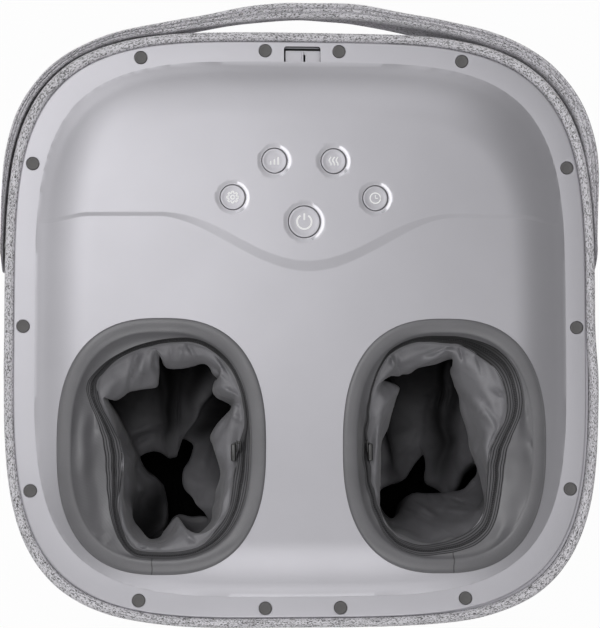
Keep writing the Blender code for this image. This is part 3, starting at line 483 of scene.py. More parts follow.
def shadeInside(made):
    # Painted shade: the pocket's cloth is darkened under its folds and deep inside, its shine and sheen too,
    # from its shade attribute; and it creases finely
    tree, shader, colour = opened(made)
    shade = node(tree, "Attribute", attribute_name="shade").outputs["Color"]
    wire(shader, "Base Color", multiplied(colour, shade))
    level = node(tree, "SeparateColor", {0: shade}).outputs[0]
    wire(shader, "Specular IOR Level", times(level, pocketCloth["shine"]))
    wire(shader, "Sheen Weight", times(level, pocketCloth["sheen"]))
    weave = shader.inputs["Normal"].links[0].from_socket
    creased = speckle(coordinates(tree), pocketCloth["creases"], 1.5, 0.5)
    bump(shader, pocketCloth["crease"], pocketCloth["relief"], creased, Normal=weave)


seam = {"x": 0.1040, "half": 0.0002, "soft": 0.0006, "dark": 0.28, "wobble": 0.0002, "waves": 700,
        "front": 0.05}


def frontSeam(made):
    # Each collar's band is closed by one seam at its front
    tree, shader, colour = opened(made)
    x, y, _ = apart(coordinates(tree))
    wobble = times(maths("SINE", times(y, seam["waves"])), seam["wobble"])
    away = distance(plus(maths("ABSOLUTE", x), wobble), seam["x"])
    shade = ranged(away, seam["half"], seam["soft"], seam["dark"], 1.0)
    behind = maths("SUBTRACT", 1.0, maths("LESS_THAN", y, opening["y"] - seam["front"]))
    wire(shader, "Base Color", multiplied(colour, maths("MAXIMUM", shade, behind)))


def stitchLines(made, lines, half, depth):
    # Rows of stitches along u, at these places across
    tree, shader, colour = opened(made)
    v = apart(coordinates(tree, "UV"))[1]
    nearest = distance(v, lines[0])
    for line in lines[1:]:
        nearest = maths("MINIMUM", nearest, distance(v, line))
    wire(shader, "Base Color", multiplied(colour, ranged(nearest, half * 0.5, half * 1.6, 1 - depth, 1.0)))


backEdge = {"from": 0.030, "to": 0.055, "dark": 0.22}


def backShade(made):
    # Under the collar's back edge the tape lies in its shade
    tree, shader, colour = opened(made)
    y = apart(coordinates(tree))[1]
    shade = ranged(y, opening["y"] + backEdge["from"], opening["y"] + backEdge["to"], 1.0, backEdge["dark"])
    wire(shader, "Base Color", multiplied(colour, shade))


plain, cool, warm = (1, 1, 1), (1.0, 0.985, 1.05), (1.02, 0.99, 0.99)
silver = mouldedPlastic("silver paint", 0.62, cool, 0.42, metallic=0.75)
silverRing = mouldedPlastic("silver paint of the ring", 0.64, cool, 0.44, metallic=0.75)
# Painted shade: a near-black paint for the notch's walls, where shade falls
notchShadePaint = mouldedPlastic("silver paint of the notch", 0.07, cool, 0.6)
# Painted highlight: a lighter, glossier copy of the silver for one side of each button's recess
glintPaint = mouldedPlastic("polished edge", 0.84, cool, 0.09, grain=0.0, metallic=0.5)
heatherCloth = heatherKnit("heather knit")
# Painted light: the strap's knit is a lighter copy of the cover's
strapKnitLitCopy = heatherKnit("heather knit of the strap", 1.03)
plugPlastic = mouldedPlastic("plug plastic", 0.135, warm, 0.5)
collarCloth = fineCloth("collar cloth", 0.178, cool, 0.33, 0.0005, 0.25, 0.20)
linerCloth = fineCloth("liner cloth", 0.29, cool, 0.42, 0.0004, 0.2, 0.2)
shadeInside(linerCloth)
frontSeam(collarCloth)
opened(collarCloth)[1].inputs["Specular IOR Level"].default_value = 0.9
zipTape = fineCloth("zip tape", 0.15, cool, 0.75, 0.0006, 0.5, 0.1)
stitchLines(zipTape, (0.0002, 0.0022, 0.0042, 0.0076, 0.0096, 0.0116), 0.00032, 0.88)
backShade(zipTape)
coilPlastic = mouldedPlastic("coil plastic", 0.045, cool, 0.4)
glowingPrint = mouldedPlastic("white print", 0.85, plain, 0.5)
# The white print also glows a little: painted light, not a lamp
glowingPrintShader = opened(glowingPrint)[1]
glowingPrintShader.inputs["Emission Color"].default_value = (1, 1, 1, 1)
glowingPrintShader.inputs["Emission Strength"].default_value = 0.22
darkPlastic = mouldedPlastic("dark plastic", 0.03, plain, 0.45)
darkSteel = mouldedPlastic("dark steel", 0.12, plain, 0.35, metallic=1.0)
rubber = mouldedPlastic("rubber", 0.035, plain, 0.8)
slotFinish = {
    "silver_plastic": silver, "heather_cloth": heatherCloth, "plug_plastic": plugPlastic,
    "collar_cloth": collarCloth, "liner_cloth": linerCloth, "zip_tape": zipTape, "dark_plastic": darkPlastic,
    "rubber": rubber, "steel": mouldedPlastic("steel", 0.50, plain, 0.3, metallic=1.0),
    "natural_plastic": mouldedPlastic("natural plastic", 0.72, (1.0, 0.98, 0.93), 0.4),
    "circuit_board": mouldedPlastic("circuit board", 0.09, (0.35, 1.3, 0.55), 0.4),
    "air_bag_film": mouldedPlastic("air bag film", 0.30, (1.0, 0.98, 0.95), 0.3),
}
for name, solid in nodes.items():
    for place in solid.material_slots:
        before = place.material.name if place.material else ""
        found = [made for slot, made in slotFinish.items() if before.startswith(slot)]
        place.material = found[0] if found else darkPlastic
print("finishes made")


# Top panel

panel = {
    "halfX": 0.1855, "halfY": 0.1865, "spare": 0.002, "edge": 0.2107, "slope": 0.040, "shoulder": 0.012,
    "crown": 0.008, "thickness": 0.0025, "step": 0.0014, "waveY": 0.0765, "waveX": 0.0025, "dip": 0.0355,
    "dipHalf": 0.103, "stepWide": 0.0036, "stepNarrow": 0.0014, "stepFade": 0.5, "endDrop": 0.0040,
    "endFrom": 0.150, "endRun": 0.030, "meet": 0.0008, "meetRun": 0.009, "columns": 150, "frontRows": 96,
    "backRows": 44, "stepRows": (-1.2, -1.0, -0.8, -0.4, 0.0, 0.4, 0.8, 1.0, 1.2),
    "lipOuter": 0.0091, "lipInner": 0.0235, "lipTop": 0.2072, "lipLow": 0.2047,
    # Round the notch's floor: a fin, and gaps that show dark
    "fin": ((0.0004, 0.1905, 0.2090), (0.0011, 0.0078, 0.0040)),
    "gaps": (((0.0, 0.1960, 0.206), (0.0257, 0.0016, 0.01)),
             ((-0.0122, 0.1915, 0.206), (0.0014, 0.0100, 0.01)),
             ((0.0018, 0.1895, 0.206), (0.0013, 0.0058, 0.01))),
}


def waveAt(x):
    x -= panel["waveX"]
    if abs(x) > panel["dipHalf"]:
        return panel["waveY"] - panel["endDrop"] * smooth((abs(x) - panel["endFrom"]) / panel["endRun"])
    return panel["waveY"] - panel["dip"] * (1 + cos(pi * x / panel["dipHalf"])) / 2


def stepHalf(x):
    return mix(panel["stepWide"], panel["stepNarrow"], smooth((abs(x) / panel["dipHalf"] - 0.5) / 0.5))


def panelZ(x, y):
    share = min(shareAt(x, y, panel["halfX"], panel["halfY"], body["roundness"]), 1.0)
    z = panel["edge"] + panel["crown"] * (1 - share * share)
    z += panel["shoulder"] * sin(pi / 2 * min((1 - share) * panel["halfX"] / panel["slope"], 1))
    z += panel["meet"] * (1 - smooth((1 - share) * panel["halfX"] / panel["meetRun"]))
    climb = min(max(((y - waveAt(x)) / stepHalf(x) + 1) / 2, 0.0), 1.0)
    height = panel["step"] * mix(1.0, panel["stepFade"], smooth(abs(x) / panel["dipHalf"]))
    return z + height * max(0.0, 1 - share ** 14) * climb


def panelLean(x, y, reach=0.010):
    return ((panelZ(x + reach, y) - panelZ(x - reach, y)) / reach / 2,
            (panelZ(x, y + reach) - panelZ(x, y - reach)) / reach / 2)


def panelRowY(x, row):
    # Rows run straight at the front and back edges, and along the wave between
    steps = [waveAt(x) + step * stepHalf(x) for step in panel["stepRows"]]
    if row < panel["frontRows"]:
        return mix(-panel["halfY"] - panel["spare"], steps[0], row / panel["frontRows"])
    row -= panel["frontRows"]
    if row < len(steps):
        return steps[row]
    return mix(steps[-1], panel["halfY"] + panel["spare"], (row - len(steps) + 1) / panel["backRows"])


buttonSizes = {
    "recess": 0.0030, "depth": 0.00066, "wallShare": 0.40, "slack": 0.0004, "sink": 0.0004,
    "rounding": 0.0006, "dish": 0.0003, "shrink": 0.0001, "steps": 64, "ink": 0.0001,
    # Painted highlight: on one side of the recess, the wall's faces that are neither level nor upright get a
    # lighter, glossier paint
    "level": 0.982, "upright": 0.3, "shineFrom": 0.42,
}
buttons = {
    "button_power": (0.0, 0.0715, 0.0110), "button_mode": (-0.0493, 0.0883, 0.0087),
    "button_intensity": (-0.0205, 0.1140, 0.0087), "button_heat": (0.0205, 0.1140, 0.0087),
    "button_timer": (0.0493, 0.0883, 0.0087),
}


def makePanel():
    rowCount = panel["frontRows"] + len(panel["stepRows"]) + panel["backRows"]
    columnCount = panel["columns"] + 1
    onlySelect()
    bpy.ops.mesh.primitive_grid_add(x_subdivisions=columnCount - 1, y_subdivisions=rowCount - 1, size=0.37)
    piece = named("top_cover")
    half = panel["halfX"] + panel["spare"]
    for number, vertex in enumerate(piece.data.vertices):
        row, column = divmod(number, columnCount)
        x = -half + 2 * half * column / panel["columns"]
        y = panelRowY(x, row)
        vertex.co = (x, y, panelZ(x, y))
    thicken(piece, panel["thickness"])
    outline = superellipse(panel["halfX"], panel["halfY"], body["roundness"], 320)
    cut(piece, prism("outline", outline, 0.19, 0.25), "INTERSECT")
    for sign in sides.values():
        cut(piece, prism("foot opening", openingOutline(sign, 0, 160), 0.19, 0.26))
    for x, y, radius in buttons.values():
        top = panelZ(x, y)
        wide = radius + buttonSizes["recess"]
        narrow = radius + buttonSizes["recess"] * buttonSizes["wallShare"]
        low, inner = top - buttonSizes["depth"], radius + buttonSizes["slack"]
        rise = 0.002 * (buttonSizes["depth"] / (wide - narrow))
        profile = ((0, low - 0.01), (inner, low - 0.01), (inner, low), (narrow, low),
                   (wide + 0.002, top + rise), (0, top + rise))
        cut(piece, turned("recess", profile, buttonSizes["steps"], (x, y, 0), lean=panelLean(x, y)))
    # The lip that the clamping ring holds down
    corners = (("lipOuter", "lipLow"), ("lipOuter", "lipTop"), ("lipInner", "lipTop"), ("lipInner", "lipLow"))
    lip = loft("lip", [bodyRing(panel[inset], panel[z]) for inset, z in corners], closedRound=True)
    fin = rounded(block("fin", *panel["fin"]), 0.0003, 3)
    for place, size in panel["gaps"]:
        cut(lip, block("gap", place, size))
    join(piece, lip, fin)
    smoothShade(piece, 22)
    dress(piece, silver, glintPaint)
    # Painted highlight: the recess wall's faces on each button's right side take the glint paint
    for face in piece.data.polygons:
        if not buttonSizes["upright"] <= face.normal.z <= buttonSizes["level"]:
            continue
        for x, y, radius in buttons.values():
            away = hypot(face.center.x - x, face.center.y - y)
            if (face.center.x - x >= radius * buttonSizes["shineFrom"]
                    and radius + 0.0008 < away < radius + buttonSizes["recess"] + 0.0004):
                face.material_index = 1
    return settle(piece, "housing", "silver_plastic", "top_panel")


makePanel()
print("top cover made")


# Clamping ring with its plugs

ring = {"inset": 0.0077, "width": 0.01425, "screws": 0.01433, "low": 0.2075, "top": 0.2115, "edge": 0.0013,
        "notchWidth": 0.0257, "notchDepth": 0.0109, "notchRounding": 0.0019, "seatDepth": 0.0023}
plug = {"radius": 0.0044, "seat": 0.0048, "edge": 0.0005, "rise": 0.0002, "depth": 0.002, "dish": 0.00012}


def plugPlaces():
    half, long = body["width"] / 2 - ring["screws"], body["depth"] / 2 - ring["screws"]
    places = []
    for x in (-0.113, -0.026, 0.026, 0.113):
        y = long * (1 - (abs(x) / half) ** body["roundness"]) ** (1 / body["roundness"])
        places += [(x, y), (x, -y)]
    for y in (-0.113, 0.0, 0.113):
        x = half * (1 - (abs(y) / long) ** body["roundness"]) ** (1 / body["roundness"])
        places += [(x, y), (-x, y)]
    return places


def makeRing():
    inner, top = ring["inset"] + ring["width"], ring["top"]
    steps = [(ring["inset"], ring["low"]), (ring["inset"], top - ring["edge"]),
             *roundedEdge(ring["inset"], top, ring["edge"], 4), (inner, top), (inner, ring["low"])]
    piece = loft("rim_ring", [bodyRing(inset, z) for inset, z in steps], closedRound=True)
    floor, over = top - ring["seatDepth"], top + 0.003
    for x, y in plugPlaces():
        profile = ((0, floor), (plug["seat"], floor), (plug["seat"], over), (0, over))
        cut(piece, turned("seat", profile, 48, (x, y, 0)))
    innerY = body["depth"] / 2 - inner
    notch = block("notch", (0, innerY + ring["notchDepth"] / 2 - 0.002, 0.21),
                  (ring["notchWidth"], ring["notchDepth"] + 0.004, 0.02))
    cut(piece, rounded(notch, ring["notchRounding"], 5))
    smoothShade(piece, 35)
    dress(piece, silverRing, notchShadePaint)
    # Painted shade: the notch's upright walls take the near-black paint
    for face in piece.data.polygons:
        inNotch = abs(face.center.x) < ring["notchWidth"] / 2 + 0.001 and face.center.y > innerY + 0.0002
        if inNotch and face.center.y < innerY + ring["notchDepth"] + 0.001 and abs(face.normal.z) < 0.5:
            face.material_index = 1
    return settle(piece, "housing", "silver_plastic", "clamp_ring")


def makePlugs():
    top, r, edge = ring["top"] + plug["rise"], plug["radius"], plug["edge"]
    dish = top - plug["dish"]
    profile = ((0, top - plug["depth"]), (r, top - plug["depth"]), (r, top - edge),
               (r - edge * 0.3, top - edge * 0.3), (r - edge, top), (r * 0.72, top), (r * 0.66, dish),
               (r * 0.30, dish), (0, dish))
    middles = {name: sum(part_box(name), Vector()) / 2 for name in nodes if name.startswith("screw_plug")}
    for x, y in plugPlaces():
        piece = turned("plug", profile, 48, (x, y, 0))
        dress(piece, plugPlastic)
        spot = Vector((x, y + body["behind"]))
        nearest = min(middles, key=lambda name: (middles[name].xy - spot).length)
        piece.name = "cap_" + nearest
        settle(piece, "housing", "plug_plastic", nearest)


makeRing()
makePlugs()
print("ring and plugs made")


# Buttons

def stroke(name, points, width, closed=False, height=0.0003):
    # A flat line of ink with a little height, drawn along points
    count = len(points)
    onlySelect()
    bpy.ops.mesh.primitive_grid_add(x_subdivisions=1, y_subdivisions=count - 1 + closed, size=1)
    piece = named(name)
    for row in range(count + closed):
        here = Vector(points[row % count])
        if closed:
            run = Vector(points[(row + 1) % count]) - Vector(points[(row - 1) % count])
        else:
            run = Vector(points[min(row + 1, count - 1)]) - Vector(points[max(row - 1, 0)])
        run.normalize()
        side = Vector((-run.y, run.x)) * width / 2
        for column, place in enumerate((here - side, here + side)):
            piece.data.vertices[row * 2 + column].co = (place.x, place.y, 0)
    thicken(piece, height, 0)
    cleanUp(piece, 30)
    return piece


def circleLine(radius, first=0, last=352.5, count=48):
    return arc(radius, [radians(mix(first, last, i / (count - 1))) for i in range(count)])


def gearIcon():
    cog = []
    for i in range(96):
        turn = 2 * pi * i / 96
        cog += arc(mix(0.0030, 0.0040, smooth(0.5 + 1.6 * cos(8 * turn))), [turn])
    return [stroke("cog", cog, 0.0009, True), stroke("hub", circleLine(0.0013), 0.0008, True)]


def barsIcon():
    return [stroke("bar", [(x, -0.0028), (x, mix(-0.0028, high, 0.5)), (x, high)], 0.0011)
            for x, high in ((-0.0026, -0.0004), (0.0, 0.0010), (0.0026, 0.0026))]


def steamIcon():
    made = []
    for x in (-0.0024, 0.0, 0.0024):
        line = [(x + 0.0006 * sin(2 * pi * share * 1.1 + 0.6), mix(-0.0030, 0.0030, share))
                for share in (i / 24 for i in range(25))]
        made.append(stroke("steam", line, 0.0009))
    return made


def clockIcon():
    hands = [(0.0, 0.0022), (0.0, 0.0008), (0.0001, 0.0), (0.0008, -0.0001), (0.0017, -0.0001)]
    return [stroke("dial", circleLine(0.0036), 0.0008, True), stroke("hands", hands, 0.0007)]


def powerIcon():
    return [stroke("power ring", circleLine(0.0050, 122, 418, 60), 0.0012),
            stroke("power bar", [(0, 0.0012), (0, 0.0035), (0, 0.0058)], 0.0012)]


icons = {"button_power": powerIcon, "button_mode": gearIcon, "button_intensity": barsIcon,
         "button_heat": steamIcon, "button_timer": clockIcon}


def makeButton(name):
    x, y, radius = buttons[name]
    top = panelZ(x, y) - buttonSizes["sink"]
    edge, dish = buttonSizes["rounding"], buttonSizes["dish"]
    radius -= buttonSizes["shrink"]
    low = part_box(name)[0][2] + 0.0008
    profile = [(0, low), (radius, low), (radius, top - edge), *roundedEdge(radius, top, edge, 5, -1)]
    profile += [((radius - edge) * (1 - i / 8), top - dish * smooth(i / 8 * 3.2)) for i in range(1, 9)]
    lean = panelLean(x, y)
    cap = turned(name + "_cap", profile, buttonSizes["steps"], (x, y, 0), 50, lean)
    dress(cap, silver, glowingPrint)
    marks = icons[name]()
    for mark in marks:
        for vertex in mark.data.vertices:
            vertex.co.z += top - dish + buttonSizes["ink"] + lean[0] * vertex.co.x + lean[1] * vertex.co.y
            vertex.co.xy += Vector((x, y))
        dress(mark, glowingPrint)
    join(cap, *marks)
    return settle(cap, name, "silver_plastic", name)


for name in buttons:
    makeButton(name)
print("buttons made")


# Base shell and standing pads

base = {"low": 0.0063, "floor": 0.0093, "skirtTop": 0.046, "skirt": 0.001, "under": 0.008, "chamfer": 0.010,
        "wall": 0.0058, "wallInner": 0.0088, "lipTop": 0.2072, "inletSlack": 0.0004, "inletDepth": 0.048,
        "padInset": 0.058}


def makeBase():
    bottom, under, skirt, top = (base[key] for key in ("low", "under", "skirt", "skirtTop"))
    steps = [(0.030, bottom), (under + 0.002, bottom)]
    for i in range(9):
        turn = pi / 2 * i / 8
        steps.append((mix(under, skirt, sin(turn)), bottom + base["chamfer"] * (1 - cos(turn))))
    steps += [(skirt, mix(bottom + base["chamfer"], top, 0.5)), (skirt, top - 0.0006), (skirt + 0.0006, top),
              (base["wall"], top), (base["wall"], base["lipTop"]), (base["wallInner"], base["lipTop"]),
              (base["wallInner"], base["floor"])]
    piece = loft("base_tray", [bodyRing(inset, z) for inset, z in steps])
    low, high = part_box("power_inlet")
    grow = 2 * base["inletSlack"]
    cut(piece, block("inlet opening", ((low.x + high.x) / 2, high.y - body["behind"], (low.z + high.z) / 2),
                     (high.x - low.x + grow, base["inletDepth"], high.z - low.z + grow)))
    smoothShade(piece, 35)
    dress(piece, silverRing)
    return settle(piece, "housing", "silver_plastic", "base_shell")


def makePads():
    profile = ((0, 0.0060), (0.014, 0.0060), (0.014, 0.0022), (0.0137, 0.0012), (0.0130, 0.0004),
               (0.0122, 0.0), (0.0100, 0.0), (0.0096, 0.0004), (0.0084, 0.0004), (0.0080, 0.0), (0.0056, 0.0),
               (0.0052, 0.0004), (0.0040, 0.0004), (0.0036, 0.0), (0, 0.0))
    x, y = body["width"] / 2 - base["padInset"], body["depth"] / 2 - base["padInset"]
    for row, ySign in (("front", -1), ("rear", 1)):
        for side, sign in sides.items():
            piece = turned(f"pad_{row}_{side}", profile, 64, (sign * x, ySign * y, 0), 40)
            dress(piece, rubber)
            settle(piece, "housing", "rubber", f"rubber_foot_{row}_{side}")


makeBase()
makePads()
print("base made")


# Cloth side cover

cover = {"thickness": 0.0066, "low": 0.0463, "rounding": 0.0035, "points": 480, "tuck": 0.0008,
         "lean": 0.0004, "frontRight": 0.0019, "ripple": 0.00035, "fineRipple": 0.00012}


def makeCover():
    r, thick = cover["rounding"], cover["thickness"]
    low, top = cover["low"], body["rim"]
    steps = [(thick, low + 0.0002), (thick * 0.5, low), (0.0016, low + 0.0002), (0.0006, low + 0.0012)]
    for i in range(25):
        steps.append((0.0004 * (1 - smooth(8 * (i / 24))), mix(low + 0.0030, top - r, i / 24)))
    for i in range(1, 9):
        turn = pi * i / 9
        steps.append((thick / 2 * (1 - cos(turn)), top - r + r * sin(turn)))
    steps += [(thick, z) for z in (top - r, mix(low, top, 0.6), mix(low, top, 0.3), low + 0.0002)]
    rows = closedRows(bodyRing(inset, z, cover["points"]) for inset, z in steps)
    outline = closedRows([bodyRing(0, 0, cover["points"])])[0]
    piece = clothGrid("cloth_side_cover", rows, lengthsAlong(outline))
    for vertex in piece.data.vertices:
        # Knit cloth lies a little uneven over its padding
        fine = noise.noise(vertex.co * 90) * cover["fineRipple"]
        lift = noise.noise(vertex.co * 26) * cover["ripple"] + fine
        outward = Vector((vertex.co.x, vertex.co.y, 0)).normalized()
        if (Vector((vertex.co.x / body["width"], vertex.co.y / body["depth"])).length > 0.35
                and vertex.co.z > low + 0.0005):
            lift -= cover["tuck"] - cover["lean"] * outward.x
            lift += cover["frontRight"] * smooth(outward.x * 2 - 0.6) * smooth((0.01 - vertex.co.y) / 0.05)
        vertex.co += outward * lift
    cleanUp(piece, 180, 0.000002)
    dress(piece, heatherCloth)
    return settle(piece, "housing", "heather_cloth", "fabric_side_cover")


makeCover()
print("side cover made")


# Carrying strap

strap = {
    "width": 0.038, "thickness": 0.0018, "grip": 0.0046, "gripHalf": 0.080, "axisY": 0.058, "z": 0.190,
    "end": 0.019, "startShare": 0.985, "sideGap": 0.0008, "cornerGap": 0.0066, "cornerRun": 0.090,
    "cornerLean": 0.42, "arch": 0.0093, "archX": 0.0065, "archHalf": 0.140, "lowArch": 0.0147, "lowX": 0.003,
    "stations": 420, "padding": 0.0078, "gripPadding": 0.0105, "clear": 0.0010, "grooves": (-0.35, 0.25),
    "groove": 0.130, "grooveHalf": 0.130, "faceLow": -0.93, "faceTop": 0.88, "endThin": 0.45,
}


def strapFrame(turn):
    # Place and outward direction on the body's outline
    halfX, halfY = body["width"] / 2, body["depth"] / 2
    reach = reachAt(turn, halfX, halfY, body["roundness"])
    x, y = reach * cos(turn), reach * sin(turn)
    slope = Vector((copysign((abs(x) / halfX) ** 3 / halfX, x), (abs(y) / halfY) ** 3 / halfY, 0))
    return Vector((x, y, 0)), slope.normalized()


def strapGap(x, y, high):
    # The upper edge leans out from the body where the lower one still hugs it
    corner = smooth((y - strap["axisY"]) / strap["cornerRun"])
    corner *= 1 + strap["cornerLean"] * min(max(x / 0.15, -1), 1)
    arches = [(1 + cos(pi * min(abs(x - middle) / strap["archHalf"], 1))) / 2
              for middle in (strap["archX"], strap["lowX"])]
    top = strap["sideGap"] + strap["cornerGap"] * corner + strap["arch"] * arches[0]
    low = strap["sideGap"] + strap["lowArch"] * arches[1]
    return mix(low, top, (high + 1) / 2)


def strapSection():
    # Up the outer face, over the padded top with its stitched grooves, and down the inner face
    low, top = strap["faceLow"], strap["faceTop"]
    section = [(mix(low, top, i / 15), 1.0) for i in range(16)]
    for i in range(1, 36):
        deep = 1 - i / 18
        sink = sum(exp(-(((deep - line) / strap["grooveHalf"]) ** 2)) for line in strap["grooves"])
        section.append((top + 0.12 * (1 - abs(deep) ** 3) - strap["groove"] * sink, deep))
    section += [(mix(top, low, i / 15), -1.0) for i in range(16)]
    return [*section, (-0.98, -0.7), (-1.0, 0.0), (-0.98, 0.7), section[0]]


def makeStrap():
    start = asin((strap["axisY"] - strap["end"]) / (body["width"] / 2) * strap["startShare"])
    section, rows, places = strapSection(), [], []
    for i in range(strap["stations"] + 1):
        place, outward = strapFrame(mix(start, pi - start, i / strap["stations"]))
        grip = smooth(1.6 * (1 - abs(place.x) / strap["gripHalf"]))
        # The ends get thinner, and round
        tip = min(max((strap["axisY"] - place.y) / strap["end"], 0.0), 1.0)
        thin = mix(strap["thickness"], strap["grip"], grip) * (1 - strap["endThin"] * smooth(tip))
        half = strap["width"] / 2 * max(1 - tip ** 2, 0.04) ** 0.5
        padding = mix(strap["padding"], strap["gripPadding"], grip)
        row = []
        for high, deep in section:
            outer = strapGap(place.x, place.y, high) + thin
            room = max(min(padding, outer - strap["clear"]), thin * 0.8)
            thick = mix(thin * 0.9, room, smooth((high + 0.35) / 1.1))
            uneven = noise.noise(Vector((place.x * 45, place.y * 45, high * 1.5))) * 0.0007
            uneven *= smooth(thick / 0.005)
            offset = outer - thick * (1 - deep) / 2 + uneven * 0.6
            row.append(place + outward * offset + Vector((0, 0, strap["z"] + high * half + uneven)))
        rows.append(row)
        places.append(place)
    along = lengthsAlong(places)
    piece = clothGrid("strap", rows, lengthsAlong(rows[len(rows) // 4]), along)
    for corner in piece.data.uv_layers[0].data:
        corner.uv = (corner.uv[1], corner.uv[0])
    cleanUp(piece, 180, 0.000002, openEnds=True)
    dress(piece, strapKnitLitCopy)
    return settle(piece, "handle_strap", "heather_cloth", "handle_strap")


makeStrap()
print("strap made")


# Foot openings: collars, zips and liners

collar = {"band": 0.0104, "bandDrop": 0.0018, "wall": 0.0025, "points": 360, "slack": 0.0022,
          "fineSlack": 0.0008, "creaseZ": 0.213, "hang": 0.0045, "fall": 0.85, "flatSpread": 24}
tape = {"width": 0.0118, "z": 0.2062, "thickness": 0.0007, "inBand": 0.0008, "wave": 0.0008, "arch": 0.0012}
# Each pocket: the corner of its picture; its middle and its pit, in sixths of a picture point; where its
# painted shade is lighter (lit) and darker (dim), by turn and spread. Folds: turn, the cloth edge seen first
# (x, y, height, overhang), the edge over the pit (x, y, height); heights and overhangs in millimetres.
pockets = {
    "left": {
        "corner": (60, 320), "middle": (680, 780), "pit": (650, 1000),
        "lit": ((332, 24),), "dim": ((36, 18), (100, 16), (236, 20)),
        "folds": (
            (0, 915, 780, 166, 14, 785, 800, 118), (14, 902, 700, 164, 16, 800, 752, 120),
            (28, 962, 600, 168, 12, 770, 730, 122), (40, 1018, 503, 172, 6, 742, 722, 124),
            (48, 938, 480, 176, 14, 722, 722, 125), (55, 912, 424, 178, 16, 718, 745, 125),
            (61, 938, 376, 182, 10, 712, 770, 124), (66, 966, 356, 186, 4, 705, 790, 123),
            (72, 872, 274, 186, 12, 700, 802, 122), (84, 780, 294, 180, 18, 690, 818, 121),
            (94, 690, 300, 178, 18, 665, 835, 120), (100, 640, 282, 180, 16, 650, 834, 120),
            (104, 603, 214, 188, 6, 640, 826, 120), (109, 600, 330, 178, 16, 620, 812, 121),
            (116, 590, 390, 174, 20, 588, 792, 122), (127, 490, 414, 176, 18, 556, 780, 123),
            (137, 404, 436, 177, 16, 532, 783, 124), (145, 330, 487, 175, 14, 506, 790, 125),
            (155, 262, 400, 186, 6, 484, 803, 126), (166, 300, 520, 184, 0, 478, 815, 126),
            (178, 352, 690, 178, 0, 490, 845, 126), (192, 386, 850, 172, 0, 520, 888, 124),
            (206, 396, 980, 168, 0, 570, 945, 120), (219, 402, 1100, 166, 0, 620, 982, 116),
            (230, 424, 1200, 164, 2, 646, 1005, 114), (240, 455, 1250, 160, 4, 652, 1080, 112),
            (250, 520, 1288, 156, 6, 640, 1180, 112), (262, 592, 1305, 154, 6, 602, 1275, 112),
            (272, 640, 1260, 158, 6, 670, 1212, 116), (282, 705, 1190, 160, 10, 735, 1168, 118),
            (294, 752, 1270, 154, 6, 830, 1160, 120), (304, 810, 1300, 156, 4, 888, 1190, 122),
            (315, 880, 1245, 160, 6, 886, 1136, 122), (328, 908, 1180, 164, 8, 806, 1078, 120),
            (340, 930, 1070, 166, 10, 748, 1012, 118), (350, 952, 900, 168, 12, 742, 905, 117),
        ),
    },
    "right": {
        "corner": (340, 315), "middle": (560, 800), "pit": (480, 1050),
        "lit": ((5, 40), (185, 25)), "dim": ((72, 22), (150, 22), (212, 18)),
        "folds": (
            (0, 790, 800, 160, 12, 802, 880, 120), (14, 774, 740, 162, 12, 772, 905, 121),
            (28, 748, 640, 166, 12, 730, 960, 122), (40, 722, 555, 170, 12, 700, 1000, 123),
            (52, 712, 470, 176, 10, 670, 1035, 124), (62, 690, 400, 182, 6, 640, 1060, 125),
            (70, 655, 330, 186, 4, 604, 1072, 126), (77, 660, 290, 184, 12, 570, 1048, 125),
            (84, 640, 262, 184, 14, 545, 1010, 124), (93, 560, 300, 182, 16, 522, 960, 123),
            (101, 480, 325, 181, 16, 510, 900, 123), (109, 420, 338, 180, 16, 500, 852, 124),
            (116, 368, 334, 182, 12, 470, 880, 124), (123, 350, 350, 180, 14, 432, 920, 123),
            (130, 300, 370, 182, 12, 400, 946, 122), (139, 250, 382, 184, 8, 370, 975, 121),
            (148, 262, 412, 186, 2, 340, 1000, 120), (156, 350, 430, 178, 6, 312, 1015, 120),
            (164, 330, 500, 170, 10, 286, 1030, 119), (172, 300, 600, 166, 10, 264, 1040, 119),
            (180, 268, 740, 164, 10, 252, 1050, 118), (190, 254, 850, 164, 8, 242, 1070, 118),
            (199, 240, 950, 164, 6, 238, 1092, 117), (208, 236, 1045, 164, 4, 238, 1118, 116),
            (217, 240, 1110, 164, 2, 242, 1152, 115), (226, 256, 1200, 164, 0, 254, 1192, 114),
            (236, 300, 1290, 164, 0, 288, 1228, 114), (246, 364, 1330, 166, 0, 324, 1222, 116),
            (256, 444, 1345, 168, 0, 362, 1165, 119), (266, 524, 1352, 170, 0, 402, 1108, 121),
            (276, 604, 1352, 171, 0, 444, 1080, 123), (286, 694, 1345, 172, 0, 502, 1086, 124),
            (297, 775, 1318, 172, 0, 572, 1084, 124), (311, 850, 1236, 172, 0, 662, 1054, 123),
            (327, 880, 1130, 172, 2, 762, 1018, 122), (345, 852, 985, 166, 10, 834, 960, 121),
        ),
    },
}
# Where the collar's cloth ends at the zip: a corner, then spots in thirds of a picture point, from turn 0 on
mouthSpots = {
    "left": ((55, 315), (
        (596, 400), (602, 330), (594, 262), (574, 200), (545, 145), (508, 102), (455, 80), (400, 72),
        (345, 74), (295, 82), (245, 95), (200, 115), (155, 142), (118, 178), (93, 210), (98, 240), (114, 280),
        (132, 325), (146, 375), (153, 425), (156, 480), (160, 540), (168, 600), (182, 650), (202, 690),
        (238, 725), (290, 744), (350, 748), (405, 744), (455, 722), (500, 690), (530, 655), (550, 610),
        (565, 550), (578, 490), (588, 440),
    )),
    "right": ((335, 310), (
        (512, 420), (528, 370), (546, 330), (554, 285), (548, 235), (530, 185), (505, 145), (468, 115),
        (425, 98), (375, 86), (300, 82), (235, 86), (190, 98), (150, 128), (122, 175), (104, 225), (93, 275),
        (87, 330), (82, 400), (83, 470), (95, 550), (115, 615), (145, 675), (185, 718), (235, 738),
        (300, 730), (360, 722), (420, 702), (462, 665), (482, 620), (492, 570), (500, 520), (505, 470),
    )),
}
